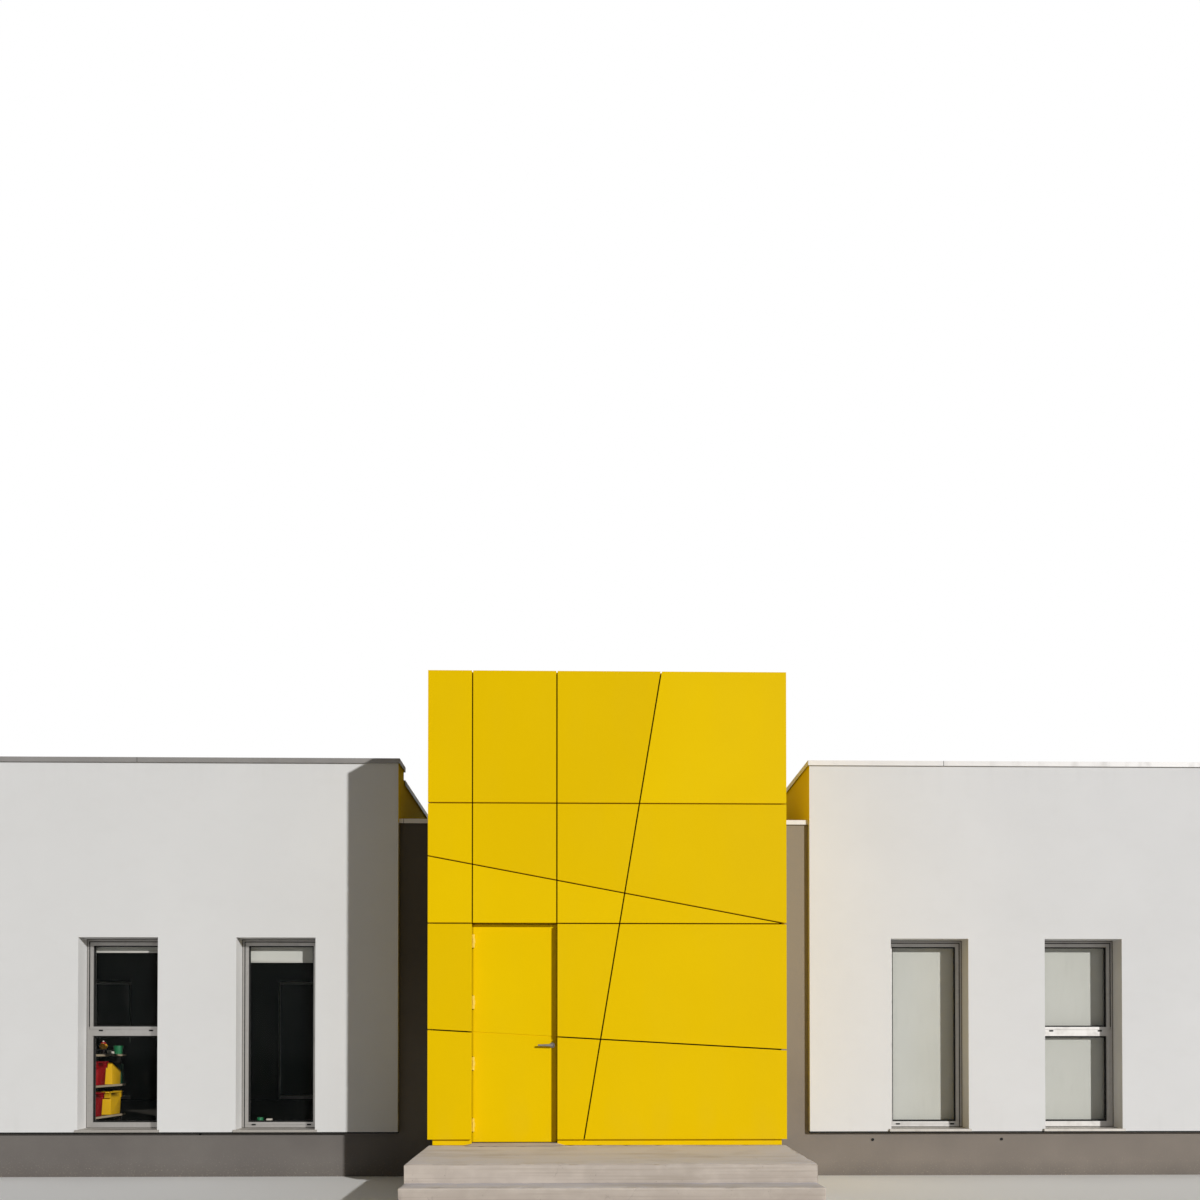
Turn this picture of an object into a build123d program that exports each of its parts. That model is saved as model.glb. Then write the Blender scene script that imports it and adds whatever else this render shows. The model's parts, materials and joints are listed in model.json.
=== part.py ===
from build123d import *
import math
import os

# School building: a tall entrance block clad in yellow panels with open slanted joints,
# two white rendered wings behind parapets, grey link walls and a stepped concrete landing.
# Millimetres. X runs along the front, the front faces -Y, Z is up, the ground is at Z = 0.

# How far a cut runs past the face that it goes through
past = 1

# Heights above the lowest ground
floor_top = 480
floor_thickness = 200
white_wall_bottom = 500
wing_coping_top = 4660
wing_coping_face = 55
wing_ceiling = 3850
wing_roof_thickness = 300
hall_ceiling = 3450
hall_roof_thickness = 250
hall_coping_top = 4000
hall_coping_face = 50
coping_sheet = 4
mitre_gap = 4
lowered_parapet_step = 150

# Plan of the wings and the hall between them
hall_width = 4600
wall_thickness = 350
plinth_setback = 60
coping_overhang = 18

# Windows
windows_per_wall = 4
window_width = 875
window_pitch = 1740
window_margin = 915
pair_spacing = 100
window_head = 2661
reveal_depth = 200
frame_face = 63
frame_depth = 70
sash_face = 28
sash_set_back = 3
sash_gap = 5
sash_gap_depth = 10
transom_height = 102
transom_middle = 1622
glass_thickness = 24
glass_setback = 22
sill_thickness = 33
sill_side_lap = 22
sill_nose = 24
sill_fall = 6
blind_rail_size = 55
blind_rail_gap = 6
blind_cloth_thickness = 4
blind_side_gap = 12
blind_bar_height = 28
blind_bar_thickness = 12
short_blind_drop = 150
longer_blind_drop = 260
full_blind_gap = 15

# Entrance block
portal_width = 3515
portal_top = 5130
portal_depth = 3600
portal_projection = 1430
portal_wall = 200
portal_roof_thickness = 250
portal_parapet = 260
portal_cap_thickness = 20
cladding_depth = 45
cladding_bottom = 540
joint_gap = 13

# Joints in the front cladding, from its left edge and from the ground
first_upright_joint = 434
second_upright_joint = 1260
high_level_joint = 3830
door_head_joint = 2651
upper_slant_left = 3310
lower_slant_left = 1612
lower_slant_right = 1414
steep_slant_top = 2284
steep_slant_bottom = 1527

# Strip under the panels
strip_thickness = 5

# Door
leaf_recess = 80
leaf_thickness = 45
leaf_side_gap = 8
leaf_head_gap = 7
leaf_foot_gap = 8
leaf_stop_gap = 5
leaf_groove_width = 8
leaf_groove_depth = 5
threshold_height = 20
threshold_ramp_run = 60
threshold_ramp_splay = 80
door_frame_thickness = 40
door_stop = 20
hinge_count = 4
hinge_height = 130
hinge_end_offset = 168
hinge_knuckle_radius = 10
hinge_pin_radius = 5
hinge_pin_clearance = 0.3
hinge_knuckle_gap = 1
hinge_plate_thickness = 3
hinge_plate_width = 15
hinge_stand_off = 4
lever_height = 979
lever_edge_distance = 46
lever_length = 140
lever_neck_height = 24
lever_tip_height = 15
lever_corner = 6
lever_thickness = 11
lever_edge = 1.5
lever_neck_radius = 9
lever_stand_off = 42
spindle_radius = 6
spindle_clearance = 1.5
rose_radius = 26
rose_thickness = 8
rose_bore_clearance = 1

# Landing and steps
landing_depth = 1330
landing_fall = 32
step_rise = 160
tread_depth = 300
concrete_arris = 10

# Shelf with bins in the left wing: it stands square to the front, beside a window
shelf_length = 850
shelf_depth = 350
shelf_board = 24
shelf_first_board = 158
shelf_spacing = 361
shelf_levels = 3
shelf_wall_gap = 60
shelf_window_gap = 20
shelf_end_set_back = 60
bin_set_back = 20
bin_length = 280
bin_taper = 12
slanted_bin_width = 235
slanted_bin_height = 262
slanted_bin_low_side = 168
red_box_width = 200
yellow_box_width = 270
box_height = 275
box_rim = 14
box_side_lip = 8
grip_reach = 58
grip_root = 40
grip_height = 75
upper_red_start = 170
upper_yellow_start = 512
lower_red_start = 88
lower_yellow_start = 495

# Derived places
portal_half = portal_width / 2
portal_core_half = portal_half - cladding_depth
hall_half = hall_width / 2
wing_length = 2 * window_margin + window_width + (windows_per_wall - 1) * window_pitch
outer_x = hall_half + wing_length
largest_overhang = max(coping_overhang, sill_nose)
steps_run = landing_depth + 2 * tread_depth
front_plane = (portal_projection + steps_run - wing_length - largest_overhang) / 2
back_plane = front_plane + wing_length
portal_face = front_plane - portal_projection
portal_back = portal_face + portal_depth
core_front = portal_face + cladding_depth
core_back = portal_back - cladding_depth
inner_front = front_plane + wall_thickness
inner_back = back_plane - wall_thickness
wing_wall_top = wing_coping_top - coping_sheet
hall_wall_top = hall_coping_top - coping_sheet
portal_wall_top = portal_top - portal_cap_thickness
window_bottom = white_wall_bottom + sill_thickness
half_gap = joint_gap / 2
door_left = first_upright_joint - half_gap - portal_half
door_right = second_upright_joint + half_gap - portal_half
door_head = door_head_joint + half_gap
threshold_top = floor_top + threshold_height
leaf_face = portal_face + leaf_recess
leaf_left = door_left + leaf_side_gap
leaf_right = door_right - leaf_side_gap
leaf_bottom = threshold_top + leaf_foot_gap
leaf_top = door_head - leaf_head_gap
hinge_x = door_left + hinge_plate_thickness + hinge_knuckle_radius + hinge_pin_clearance
hinge_y = leaf_face - hinge_knuckle_radius - hinge_stand_off
lever_x = leaf_right - lever_edge_distance
lever_z = floor_top + lever_height


def block(x0, x1, y0, y1, z0, z1):
    """A box between two corners."""
    middle = Location(((x0 + x1) / 2, (y0 + y1) / 2, (z0 + z1) / 2))
    return middle * Box(abs(x1 - x0), abs(y1 - y0), abs(z1 - z0))


def mirrored(shape):
    """A shape and its mirror image on the other side of the building's middle."""
    return [shape, mirror(shape, about=Plane.YZ)]


def upright_cylinder(x, y, z0, z1, radius):
    """A cylinder along Z."""
    return Location((x, y, (z0 + z1) / 2)) * Cylinder(radius, z1 - z0)


def cylinder_along_y(x, z, y0, y1, radius):
    """A cylinder along Y."""
    return Location((x, (y0 + y1) / 2, z), (90, 0, 0)) * Cylinder(radius, abs(y1 - y0))


def cylinder_along_x(y, z, x0, x1, radius):
    """A cylinder along X."""
    return Location(((x0 + x1) / 2, y, z), (0, 90, 0)) * Cylinder(radius, abs(x1 - x0))


# Each outer wall is built in its own frame: X along it from its left end as seen from
# outside, Y inwards from its outer face, Z up from the ground.
wall_places = {
    "left_front_wall": Location((-outer_x, front_plane, 0)),
    "right_front_wall": Location((hall_half, front_plane, 0)),
    "left_back_wall": Location((-hall_half, back_plane, 0), (0, 0, 180)),
    "right_back_wall": Location((outer_x, back_plane, 0), (0, 0, 180)),
    "left_end_wall": Location((-outer_x, back_plane, 0), (0, 0, -90)),
    "right_end_wall": Location((outer_x, front_plane, 0), (0, 0, 90)),
    "hall_back_wall": Location((hall_half, back_plane, 0), (0, 0, 180)),
}

# Walls whose first window, the plain one, is at their right end
mirrored_walls = ("left_front_wall", "right_back_wall", "left_end_wall")

window_nodes = (
    "left_window_frames",
    "right_window_frames",
    "left_window_glass",
    "right_window_glass",
    "window_sills",
    "left_blinds",
    "right_blinds",
)


def window_starts(wall):
    """The left edges of a wall's windows, in the wall's frame."""
    if wall == "hall_back_wall":
        first = (hall_width - window_pitch - window_width) / 2
        return [first, first + window_pitch]
    starts = [window_margin + i * window_pitch for i in range(windows_per_wall)]
    half = windows_per_wall // 2
    if wall in mirrored_walls:
        return [start - pair_spacing for start in starts[:half]] + starts[half:]
    return starts[:half] + [start + pair_spacing for start in starts[half:]]


def has_transom(wall, index):
    """Every second window from the wall's inner or front end has a transom."""
    if wall == "hall_back_wall":
        return False
    if wall in mirrored_walls:
        index = windows_per_wall - 1 - index
    return index % 2 == 1


def window_openings(wall):
    """The holes that a wall's windows stand in."""
    holes = []
    for start in window_starts(wall):
        end = start + window_width
        holes.append(block(start, end, -wall_thickness, 2 * wall_thickness, white_wall_bottom, window_head))
    return holes


def sash_joint(left, right, low, high):
    """The set-back of an opening sash round its pane, and the groove between it and the frame."""
    far = sash_face + sash_gap
    front = reveal_depth - past
    set_back = block(left - far, right + far, front, reveal_depth + sash_set_back, low - far, high + far)
    groove_back = reveal_depth + sash_gap_depth
    groove = block(left - far, right + far, front, groove_back, low - far, high + far)
    near = sash_face
    groove -= block(left - near, right + near, front - past, groove_back + past, low - near, high + near)
    return set_back + groove


def window_frame(start, transom):
    """One aluminium frame: its upper pane, or its only one, is in an opening sash."""
    end = start + window_width
    back = reveal_depth + frame_depth
    frame = block(start, end, reveal_depth, back, window_bottom, window_head)
    pane_left = start + frame_face
    pane_right = end - frame_face
    pane_bottom = window_bottom + frame_face
    pane_top = window_head - frame_face
    panes = [(pane_bottom, pane_top)]
    if transom:
        low = transom_middle - transom_height / 2
        high = transom_middle + transom_height / 2
        panes = [(pane_bottom, low), (high, pane_top)]
    frame -= sash_joint(pane_left, pane_right, *panes[-1])
    for low, high in panes:
        frame -= block(pane_left, pane_right, 0, 2 * back, low, high)
    return frame, panes


def window_panes(start, panes):
    """The glass of one window, seated in its frame."""
    left = start + frame_face
    right = start + window_width - frame_face
    front = reveal_depth + glass_setback
    return [block(left, right, front, front + glass_thickness, low, high) for low, high in panes]


def wall_face(wall):
    """How far a wall's outer face lies behind the white one."""
    return plinth_setback if wall == "hall_back_wall" else 0


def window_sill(start, face):
    """One metal sill with a nose in front of the wall and a fall to the outside."""
    end = start + window_width
    inner_top = white_wall_bottom + sill_thickness
    outer_top = inner_top - sill_fall
    section = Polygon(
        (face, white_wall_bottom),
        (reveal_depth, white_wall_bottom),
        (reveal_depth, inner_top),
        (face, outer_top),
        align=None,
    )
    body = Plane.YZ.offset(start) * section
    sill = extrude(body, window_width, dir=(1, 0, 0))
    left = start - sill_side_lap
    right = end + sill_side_lap
    return sill + block(left, right, face - sill_nose, face, white_wall_bottom, outer_top)


def blind_drop(wall, index):
    """How far a blind hangs down: a little on the left front and in the hall, else all the way."""
    if wall == "left_front_wall" and has_transom(wall, index):
        return short_blind_drop
    if wall in ("left_front_wall", "hall_back_wall"):
        return longer_blind_drop
    return window_head - window_bottom - full_blind_gap


def window_blind(start, drop):
    """One roller blind: its rail, its cloth and its bottom bar in one section."""
    left = start + blind_side_gap
    right = start + window_width - blind_side_gap
    front = reveal_depth + frame_depth
    middle = front + blind_rail_gap + blind_rail_size / 2
    rail_bottom = window_head - blind_rail_size
    rail = block(left, right, front, front + blind_rail_gap + blind_rail_size, rail_bottom, window_head)
    half_cloth = blind_cloth_thickness / 2
    half_bar = blind_bar_thickness / 2
    foot = window_head - drop
    cloth = block(left, right, middle - half_cloth, middle + half_cloth, foot, rail_bottom)
    bar = block(left, right, middle - half_bar, middle + half_bar, foot, foot + blind_bar_height)
    return rail + cloth + bar


def outer_wall(wall):
    """One white rendered wall, cut through for its windows."""
    ends = ("left_end_wall", "right_end_wall")
    start = wall_thickness if wall in ends else 0
    end = wing_length - start
    solid = block(start, end, 0, wall_thickness, white_wall_bottom, wing_wall_top)
    for hole in window_openings(wall):
        solid -= hole
    return wall_places[wall] * solid


def plinth():
    """The right wing's grey plinth: one wall round three sides, behind the white face."""
    outside = block(
        hall_half,
        outer_x - plinth_setback,
        front_plane + plinth_setback,
        back_plane - plinth_setback,
        0,
        white_wall_bottom,
    )
    inside = block(0, outer_x - wall_thickness, inner_front, inner_back, -past, white_wall_bottom + past)
    return outside - inside


def floor():
    """One floor slab through both wings, the hall and the entrance block."""
    bottom = floor_top - floor_thickness
    side = outer_x - wall_thickness
    main = block(-side, side, inner_front, inner_back, bottom, floor_top)
    lobby_side = portal_core_half - portal_wall
    lobby = block(-lobby_side, lobby_side, core_front + portal_wall, inner_front, bottom, floor_top)
    return main + lobby


def inner_wall(top):
    """A right wing wall above the hall: it carries both roofs between front and back."""
    return block(hall_half, hall_half + wall_thickness, inner_front, inner_back, hall_ceiling, top)


def wing_roof():
    """The right wing's flat roof slab, between its walls."""
    left = hall_half + wall_thickness
    right = outer_x - wall_thickness
    return block(left, right, inner_front, inner_back, wing_ceiling, wing_ceiling + wing_roof_thickness)


def mitre(ring, x, y, turn):
    """A ring of copings cut at one of its corners by a narrow joint at 45 degrees."""
    length = 4 * wall_thickness
    return ring - Location((x, y, portal_top), (0, 0, turn)) * Box(length, mitre_gap, portal_top)


def folded_ring(left, right, front, back, top, face):
    """A coping of folded sheet on a ring of walls: flat on top, turned down on both sides."""
    lap = coping_overhang
    sheet = coping_sheet
    far = wall_thickness + lap
    bottom = top - face
    ring = block(left - lap, right + lap, front - lap, back + lap, bottom, top)
    ring -= block(left + far, right - far, front + far, back - far, bottom - past, top + past)
    out = lap - sheet
    fold = far - sheet
    under = block(left - out, right + out, front - out, back + out, bottom - past, top - sheet)
    under -= block(left + fold, right - fold, front + fold, back - fold, bottom - 2 * past, top)
    return ring - under


def folded_run(left, right, front, back, top, face):
    """A straight coping of folded sheet along X, between its two turned-down sides."""
    sheet = coping_sheet
    run = block(left, right, front, back, top - face, top)
    bottom = top - face
    return run - block(left - past, right + past, front + sheet, back - sheet, bottom - past, top - sheet)


def wing_coping(lowered):
    """The right wing's coping: a ring, with its hall side lowered or level."""
    top = wing_coping_top
    face = wing_coping_face
    lap = coping_overhang
    sheet = coping_sheet
    ring = folded_ring(hall_half, outer_x, front_plane, back_plane, top, face)
    ring = mitre(ring, outer_x, front_plane, -45)
    ring = mitre(ring, outer_x, back_plane, 45)
    if not lowered:
        ring = mitre(ring, hall_half, front_plane, 45)
        return mitre(ring, hall_half, back_plane, -45).solids()
    left = hall_half - lap
    right = hall_half + wall_thickness + lap
    front = inner_front + lap
    back = inner_back - lap
    ring -= block(left, right, front, back, top - face - past, top + past)
    ring += block(left, right, front - sheet, front, top - face, top)
    ring += block(left, right, back, back + sheet, top - face, top)
    low = top - lowered_parapet_step
    strip = block(left, right, inner_front, inner_back, low - face, low)
    start = inner_front - past
    end = inner_back + past
    strip -= block(left + sheet, right - sheet, start, end, low - face - past, low - sheet)
    return ring.solids() + [strip]


def link_wall():
    """The grey wall between the entrance block and the right wing."""
    front = front_plane + plinth_setback
    return block(portal_core_half, hall_half, front, inner_front, 0, hall_wall_top)


def hall_back_wall():
    """The grey wall behind the hall, with two windows."""
    front = wall_face("hall_back_wall")
    solid = block(0, hall_width, front, wall_thickness, 0, hall_wall_top)
    for hole in window_openings("hall_back_wall"):
        solid -= hole
    return wall_places["hall_back_wall"] * solid


def hall_roof():
    """The low roof slab, notched where the entrance block rises through it."""
    top = hall_ceiling + hall_roof_thickness
    slab = block(-hall_half, hall_half, inner_front, inner_back, hall_ceiling, top)
    side = portal_core_half
    notch = block(-side, side, inner_front - past, core_back, hall_ceiling - past, top + past)
    return slab - notch


def entrance_copings():
    """Copings of the link walls and the hall's back wall, and the entrance block's cap."""
    lap = coping_overhang
    face = hall_coping_face
    front = front_plane + plinth_setback - lap
    side_start = portal_half + half_gap
    link = folded_run(side_start, hall_half, front, inner_front + lap, hall_coping_top, face)
    back_face = back_plane - plinth_setback + lap
    back = folded_run(-hall_half, hall_half, inner_back - lap, back_face, hall_coping_top, face)
    side = portal_core_half
    cap = block(-side, side, core_front, core_back, portal_wall_top, portal_top)
    inner = side - portal_wall
    inner_start = core_front + portal_wall
    inner_end = core_back - portal_wall
    cap -= block(-inner, inner, inner_start, inner_end, portal_wall_top - past, portal_top + past)
    for turn, x in ((45, -side), (-45, side)):
        cap = mitre(cap, x, core_front, turn)
        cap = mitre(cap, x, core_back, -turn)
    return mirrored(link) + [back] + cap.solids()


def portal_pier(left, right):
    """The entrance block's front wall on one side of the door."""
    return block(left, right, core_front, core_front + portal_wall, 0, portal_wall_top)


def portal_piers():
    """Both piers of the front wall."""
    frame = door_frame_thickness
    left = portal_pier(-portal_core_half, door_left - frame)
    right = portal_pier(door_right + frame, portal_core_half)
    return [left, right]


def portal_lintel():
    """The front wall over the door."""
    frame = door_frame_thickness
    left = door_left - frame
    right = door_right + frame
    return block(left, right, core_front, core_front + portal_wall, door_head + frame, portal_wall_top)


def portal_side_wall():
    """The right side wall: to the ground in front, and above the hall roof behind."""
    left = portal_core_half - portal_wall
    front = core_front + portal_wall
    tall = block(left, portal_core_half, front, inner_front, 0, portal_wall_top)
    upper = block(left, portal_core_half, inner_front, core_back, hall_ceiling, portal_wall_top)
    return tall + upper


def portal_back_wall():
    """The entrance block's back wall, above the hall roof."""
    side = portal_core_half - portal_wall
    return block(-side, side, core_back - portal_wall, core_back, hall_ceiling, portal_wall_top)


def portal_roof():
    """The entrance block's roof slab, below its parapet."""
    side = portal_core_half - portal_wall
    top = portal_wall_top - portal_parapet
    front = core_front + portal_wall
    back = core_back - portal_wall
    return block(-side, side, front, back, top - portal_roof_thickness, top)


def joint_cut(start, end):
    """A slot through the front cladding along a line between two points of its face."""
    dx = end[0] - start[0]
    dz = end[1] - start[1]
    length = math.hypot(dx, dz)
    angle = -math.degrees(math.atan2(dz, dx))
    middle_x = (start[0] + end[0]) / 2 - portal_half
    middle_z = (start[1] + end[1]) / 2
    place = Location((middle_x, portal_face + cladding_depth / 2, middle_z), (0, angle, 0))
    return place * Box(length + 4 * joint_gap, 3 * cladding_depth, joint_gap)


def beyond(start, end, share):
    """A point past the end of a line, so that a joint runs out over the cladding's edge."""
    return (end[0] + (end[0] - start[0]) * share, end[1] + (end[1] - start[1]) * share)


def front_joints():
    """The centre lines of the joints, from the cladding's left edge and from the ground."""
    run_out = 0.02
    lines = [
        ((0, high_level_joint), (portal_width, high_level_joint)),
        ((0, door_head_joint), (portal_width, door_head_joint)),
        ((first_upright_joint, door_head_joint), (first_upright_joint, portal_top)),
        ((second_upright_joint, door_head_joint), (second_upright_joint, portal_top)),
        ((0, upper_slant_left), (portal_width, door_head_joint)),
        ((0, lower_slant_left), (portal_width, lower_slant_right)),
        ((steep_slant_bottom, cladding_bottom), (steep_slant_top, portal_top)),
    ]
    longer = []
    for start, end in lines:
        on_door_head = start[1] == door_head_joint and start[0] > 0
        first = start if on_door_head else beyond(end, start, run_out)
        longer.append((first, beyond(start, end, run_out)))
    return longer


def front_cladding():
    """The front panels: one face cut into separate panels by the open joints."""
    face = block(-portal_half, portal_half, portal_face, core_front, cladding_bottom, portal_top)
    for start, end in front_joints():
        face -= joint_cut(start, end)
    doorway = block(door_left, door_right, portal_face - past, core_front + past, 0, door_head)
    face -= doorway
    return face.solids()


def side_cladding():
    """The right side's panels: full height in front of the hall, and above it behind."""
    left = portal_core_half
    right = portal_half
    front = core_front + joint_gap
    middle = front_plane + plinth_setback - joint_gap
    rear = middle + joint_gap
    levels = [cladding_bottom, lower_slant_right, door_head_joint, high_level_joint, portal_top]
    panels = []
    for low, high in zip(levels, levels[1:]):
        bottom = low if low == cladding_bottom else low + half_gap
        top = high if high == portal_top else high - half_gap
        panels.append(block(left, right, front, middle, bottom, top))
    rear_bottom = hall_coping_top + joint_gap
    rear_end = portal_back - cladding_depth - joint_gap
    panels.append(block(left, right, rear, rear_end, rear_bottom, portal_top))
    return panels


def back_cladding():
    """The panels of the entrance block's back, above the hall roof."""
    bottom = hall_coping_top + joint_gap
    face = block(-portal_half, portal_half, core_back, portal_back, bottom, portal_top)
    front = core_back - past
    back = portal_back + past
    for line in (portal_half - first_upright_joint, portal_half - second_upright_joint):
        face -= block(line - half_gap, line + half_gap, front, back, 0, 2 * portal_top)
    return face.solids()


def base_strip():
    """The yellow strip under the panels, set back from them."""
    front = core_front - strip_thickness
    top = cladding_bottom
    left = block(-portal_core_half, door_left, front, core_front, floor_top, top)
    right = block(door_right, portal_core_half, front, core_front, floor_top, top)
    side_x = portal_core_half + strip_thickness
    link_face = front_plane + plinth_setback
    side = block(portal_core_half, side_x, core_front + joint_gap, link_face, floor_top, top)
    return [left, right] + mirrored(side)


def door_threshold():
    """The cast threshold: a step through the wall, and a splayed ramp down to the landing."""
    frame = door_frame_thickness
    through = block(
        door_left - frame,
        door_right + frame,
        core_front,
        core_front + portal_wall,
        floor_top - floor_thickness,
        threshold_top,
    )
    middle = block(door_left, door_right, portal_face, core_front, floor_top, threshold_top)
    ramp_back = core_front - strip_thickness
    foot = Polygon(
        (door_left - threshold_ramp_splay, ramp_back),
        (door_left - threshold_ramp_splay / 2, portal_face - threshold_ramp_run),
        (door_right + threshold_ramp_splay / 2, portal_face - threshold_ramp_run),
        (door_right + threshold_ramp_splay, ramp_back),
        align=None,
    )
    crest = Polygon(
        (door_left, ramp_back),
        (door_left, portal_face),
        (door_right, portal_face),
        (door_right, ramp_back),
        align=None,
    )
    ramp = loft([Plane.XY.offset(floor_top) * foot, Plane.XY.offset(threshold_top) * crest])
    return through + middle + ramp


def door_frame():
    """The door frame: it lines the doorway and stands proud behind the leaf as a stop."""
    frame = door_frame_thickness
    stop_face = leaf_face + leaf_thickness + leaf_stop_gap
    back = core_front + portal_wall
    lining = block(door_left - frame, door_right + frame, core_front, back, threshold_top, door_head + frame)
    lining -= block(door_left, door_right, core_front - past, back + past, 0, door_head)
    stop = block(door_left, door_right, stop_face, back, threshold_top, door_head)
    left = door_left + door_stop
    right = door_right - door_stop
    stop -= block(left, right, stop_face - past, back + past, 0, door_head - door_stop)
    return lining + stop


def door_leaf():
    """The flush leaf, with the hole for its lever and the groove that carries the joint on."""
    back = leaf_face + leaf_thickness
    leaf = block(leaf_left, leaf_right, leaf_face, back, leaf_bottom, leaf_top)
    hole_radius = spindle_radius + spindle_clearance
    leaf -= cylinder_along_y(lever_x, lever_z, leaf_face - past, back + past, hole_radius)
    fall = (lower_slant_right - lower_slant_left) / portal_width
    middle_x = (door_left + door_right) / 2
    middle_z = lower_slant_left + fall * (middle_x + portal_half)
    angle = -math.degrees(math.atan(fall))
    place = Location((middle_x, leaf_face, middle_z), (0, angle, 0))
    leaf -= place * Box(2 * (door_right - door_left), 2 * leaf_groove_depth, leaf_groove_width)
    return leaf


def hinge_bottoms():
    """The lower ends of the hinges."""
    lowest = leaf_bottom + hinge_end_offset - hinge_height / 2
    highest = leaf_top - hinge_end_offset - hinge_height / 2
    spacing = (highest - lowest) / (hinge_count - 1)
    return [lowest + i * spacing for i in range(hinge_count)]


def hinge_pin_side(bottom):
    """A hinge's fixed side: a plate on the frame, two knuckles and the pin."""
    third = hinge_height / 3
    top = bottom + hinge_height
    half_web = hinge_knuckle_radius / 2
    plate_back = leaf_face - hinge_pin_clearance
    plate_front = hinge_y - hinge_knuckle_radius
    side = block(door_left, door_left + hinge_plate_thickness, plate_front, plate_back, bottom, top)
    for low, high in ((bottom, bottom + third), (top - third, top)):
        side += upright_cylinder(hinge_x, hinge_y, low, high, hinge_knuckle_radius)
        side += block(door_left, hinge_x, hinge_y - half_web, hinge_y + half_web, low, high)
    return side + upright_cylinder(hinge_x, hinge_y, bottom, top, hinge_pin_radius)


def hinge_leaf_side(bottom):
    """A hinge's moving side: the middle knuckle and its plate on the leaf's face."""
    third = hinge_height / 3
    low = bottom + third + hinge_knuckle_gap
    high = bottom + 2 * third - hinge_knuckle_gap
    half_web = hinge_knuckle_radius / 2
    side = upright_cylinder(hinge_x, hinge_y, low, high, hinge_knuckle_radius)
    side += block(hinge_x - half_web, hinge_x + half_web, hinge_y, leaf_face, low, high)
    plate_front = leaf_face - hinge_plate_thickness
    side += block(hinge_x - half_web, hinge_x + hinge_plate_width, plate_front, leaf_face, low, high)
    bore = hinge_pin_radius + hinge_pin_clearance
    return side - upright_cylinder(hinge_x, hinge_y, low - past, high + past, bore)


def door_roses():
    """The round plates round the spindle, one on each face of the leaf."""
    back = leaf_face + leaf_thickness
    bore = spindle_radius + rose_bore_clearance
    roses = []
    for start, end in ((leaf_face - rose_thickness, leaf_face), (back, back + rose_thickness)):
        rose = cylinder_along_y(lever_x, lever_z, start, end, rose_radius)
        roses.append(rose - cylinder_along_y(lever_x, lever_z, start - past, end + past, bore))
    return roses


def lever_arm():
    """The outer lever: a round neck and a flat arm that narrows to its tip."""
    arm_back = leaf_face - lever_stand_off + lever_thickness / 2
    neck = lever_neck_height / 2
    tip = lever_tip_height / 2
    taper = Polygon((neck, neck), (neck, -neck), (-lever_length, -tip), (-lever_length, tip), align=None)
    outline = fillet(taper.vertices(), lever_corner)
    face = Plane((lever_x, arm_back, lever_z), x_dir=(1, 0, 0), z_dir=(0, -1, 0))
    arm = extrude(face * outline, lever_thickness, dir=(0, -1, 0))
    flats = arm.faces().sort_by(Axis.Y)
    arm = chamfer(flats[0].edges() + flats[-1].edges(), lever_edge)
    neck_start = leaf_face - rose_thickness - hinge_knuckle_gap
    return arm + cylinder_along_y(lever_x, lever_z, arm_back, neck_start, lever_neck_radius)


def door_lever():
    """The lever pair on its spindle, both levers pointing to the hinges."""
    middle = leaf_face + leaf_thickness / 2
    half = leaf_thickness / 2 + rose_thickness + hinge_knuckle_gap
    lever = cylinder_along_y(lever_x, lever_z, middle - half, middle + half, spindle_radius)
    outer = lever_arm()
    return lever + outer + mirror(outer, about=Plane.XZ.offset(-middle))


def eased(solid, front):
    """Cast concrete with its upper front and side edges eased."""
    lowest = solid.bounding_box().max.Z - landing_fall - concrete_arris
    edges = []
    for edge in solid.edges():
        middle = edge.center()
        outer = abs(middle.X) > portal_half - concrete_arris or middle.Y < front + concrete_arris
        if middle.Z > lowest and outer:
            edges.append(edge)
    return chamfer(edges, concrete_arris)


def landing():
    """The cast landing with its slight fall to the front."""
    front = portal_face - landing_depth
    section = Polygon(
        (core_front, 0),
        (core_front, floor_top),
        (portal_face, floor_top),
        (front, floor_top - landing_fall),
        (front, 0),
        align=None,
    )
    side = Plane.YZ.offset(-portal_half) * section
    return eased(extrude(side, portal_width, dir=(1, 0, 0)), front)


def step(number):
    """One step, counted from the landing down."""
    back = portal_face - landing_depth - (number - 1) * tread_depth
    top = floor_top - landing_fall - number * step_rise
    front = back - tread_depth
    return eased(block(-portal_half, portal_half, front, back, 0, top), front)


def shelf_front():
    """The shelf's open side: it is turned to the window that the shelf stands beside."""
    third_window = windows_per_wall - 2
    window_left = window_starts("left_front_wall")[third_window] - outer_x
    return window_left - shelf_window_gap


def shelf_near_end():
    """The shelf's end beside the front wall."""
    return inner_front + shelf_wall_gap


def shelf_board_top(level):
    """The height of one of the shelf's boards, counted from the lowest."""
    return floor_top + shelf_first_board + level * shelf_spacing


def toy_shelf():
    """An open shelf: a back, two ends set back from the boards' edges, and the boards."""
    front = shelf_front()
    back = front - shelf_depth
    near = shelf_near_end()
    far = near + shelf_length
    top = shelf_board_top(shelf_levels - 1)
    end_front = front - shelf_end_set_back
    shelf = block(back, back + shelf_board, near, far, floor_top, top)
    shelf += block(back, end_front, near, near + shelf_board, floor_top, top)
    shelf += block(back, end_front, far - shelf_board, far, floor_top, top)
    for level in range(shelf_levels):
        board_top = shelf_board_top(level)
        shelf += block(back, front, near, far, board_top - shelf_board, board_top)
    return shelf


def bin_back():
    """Where the bins' ends by the shelf's back lie."""
    return shelf_front() - bin_set_back - bin_length


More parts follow.
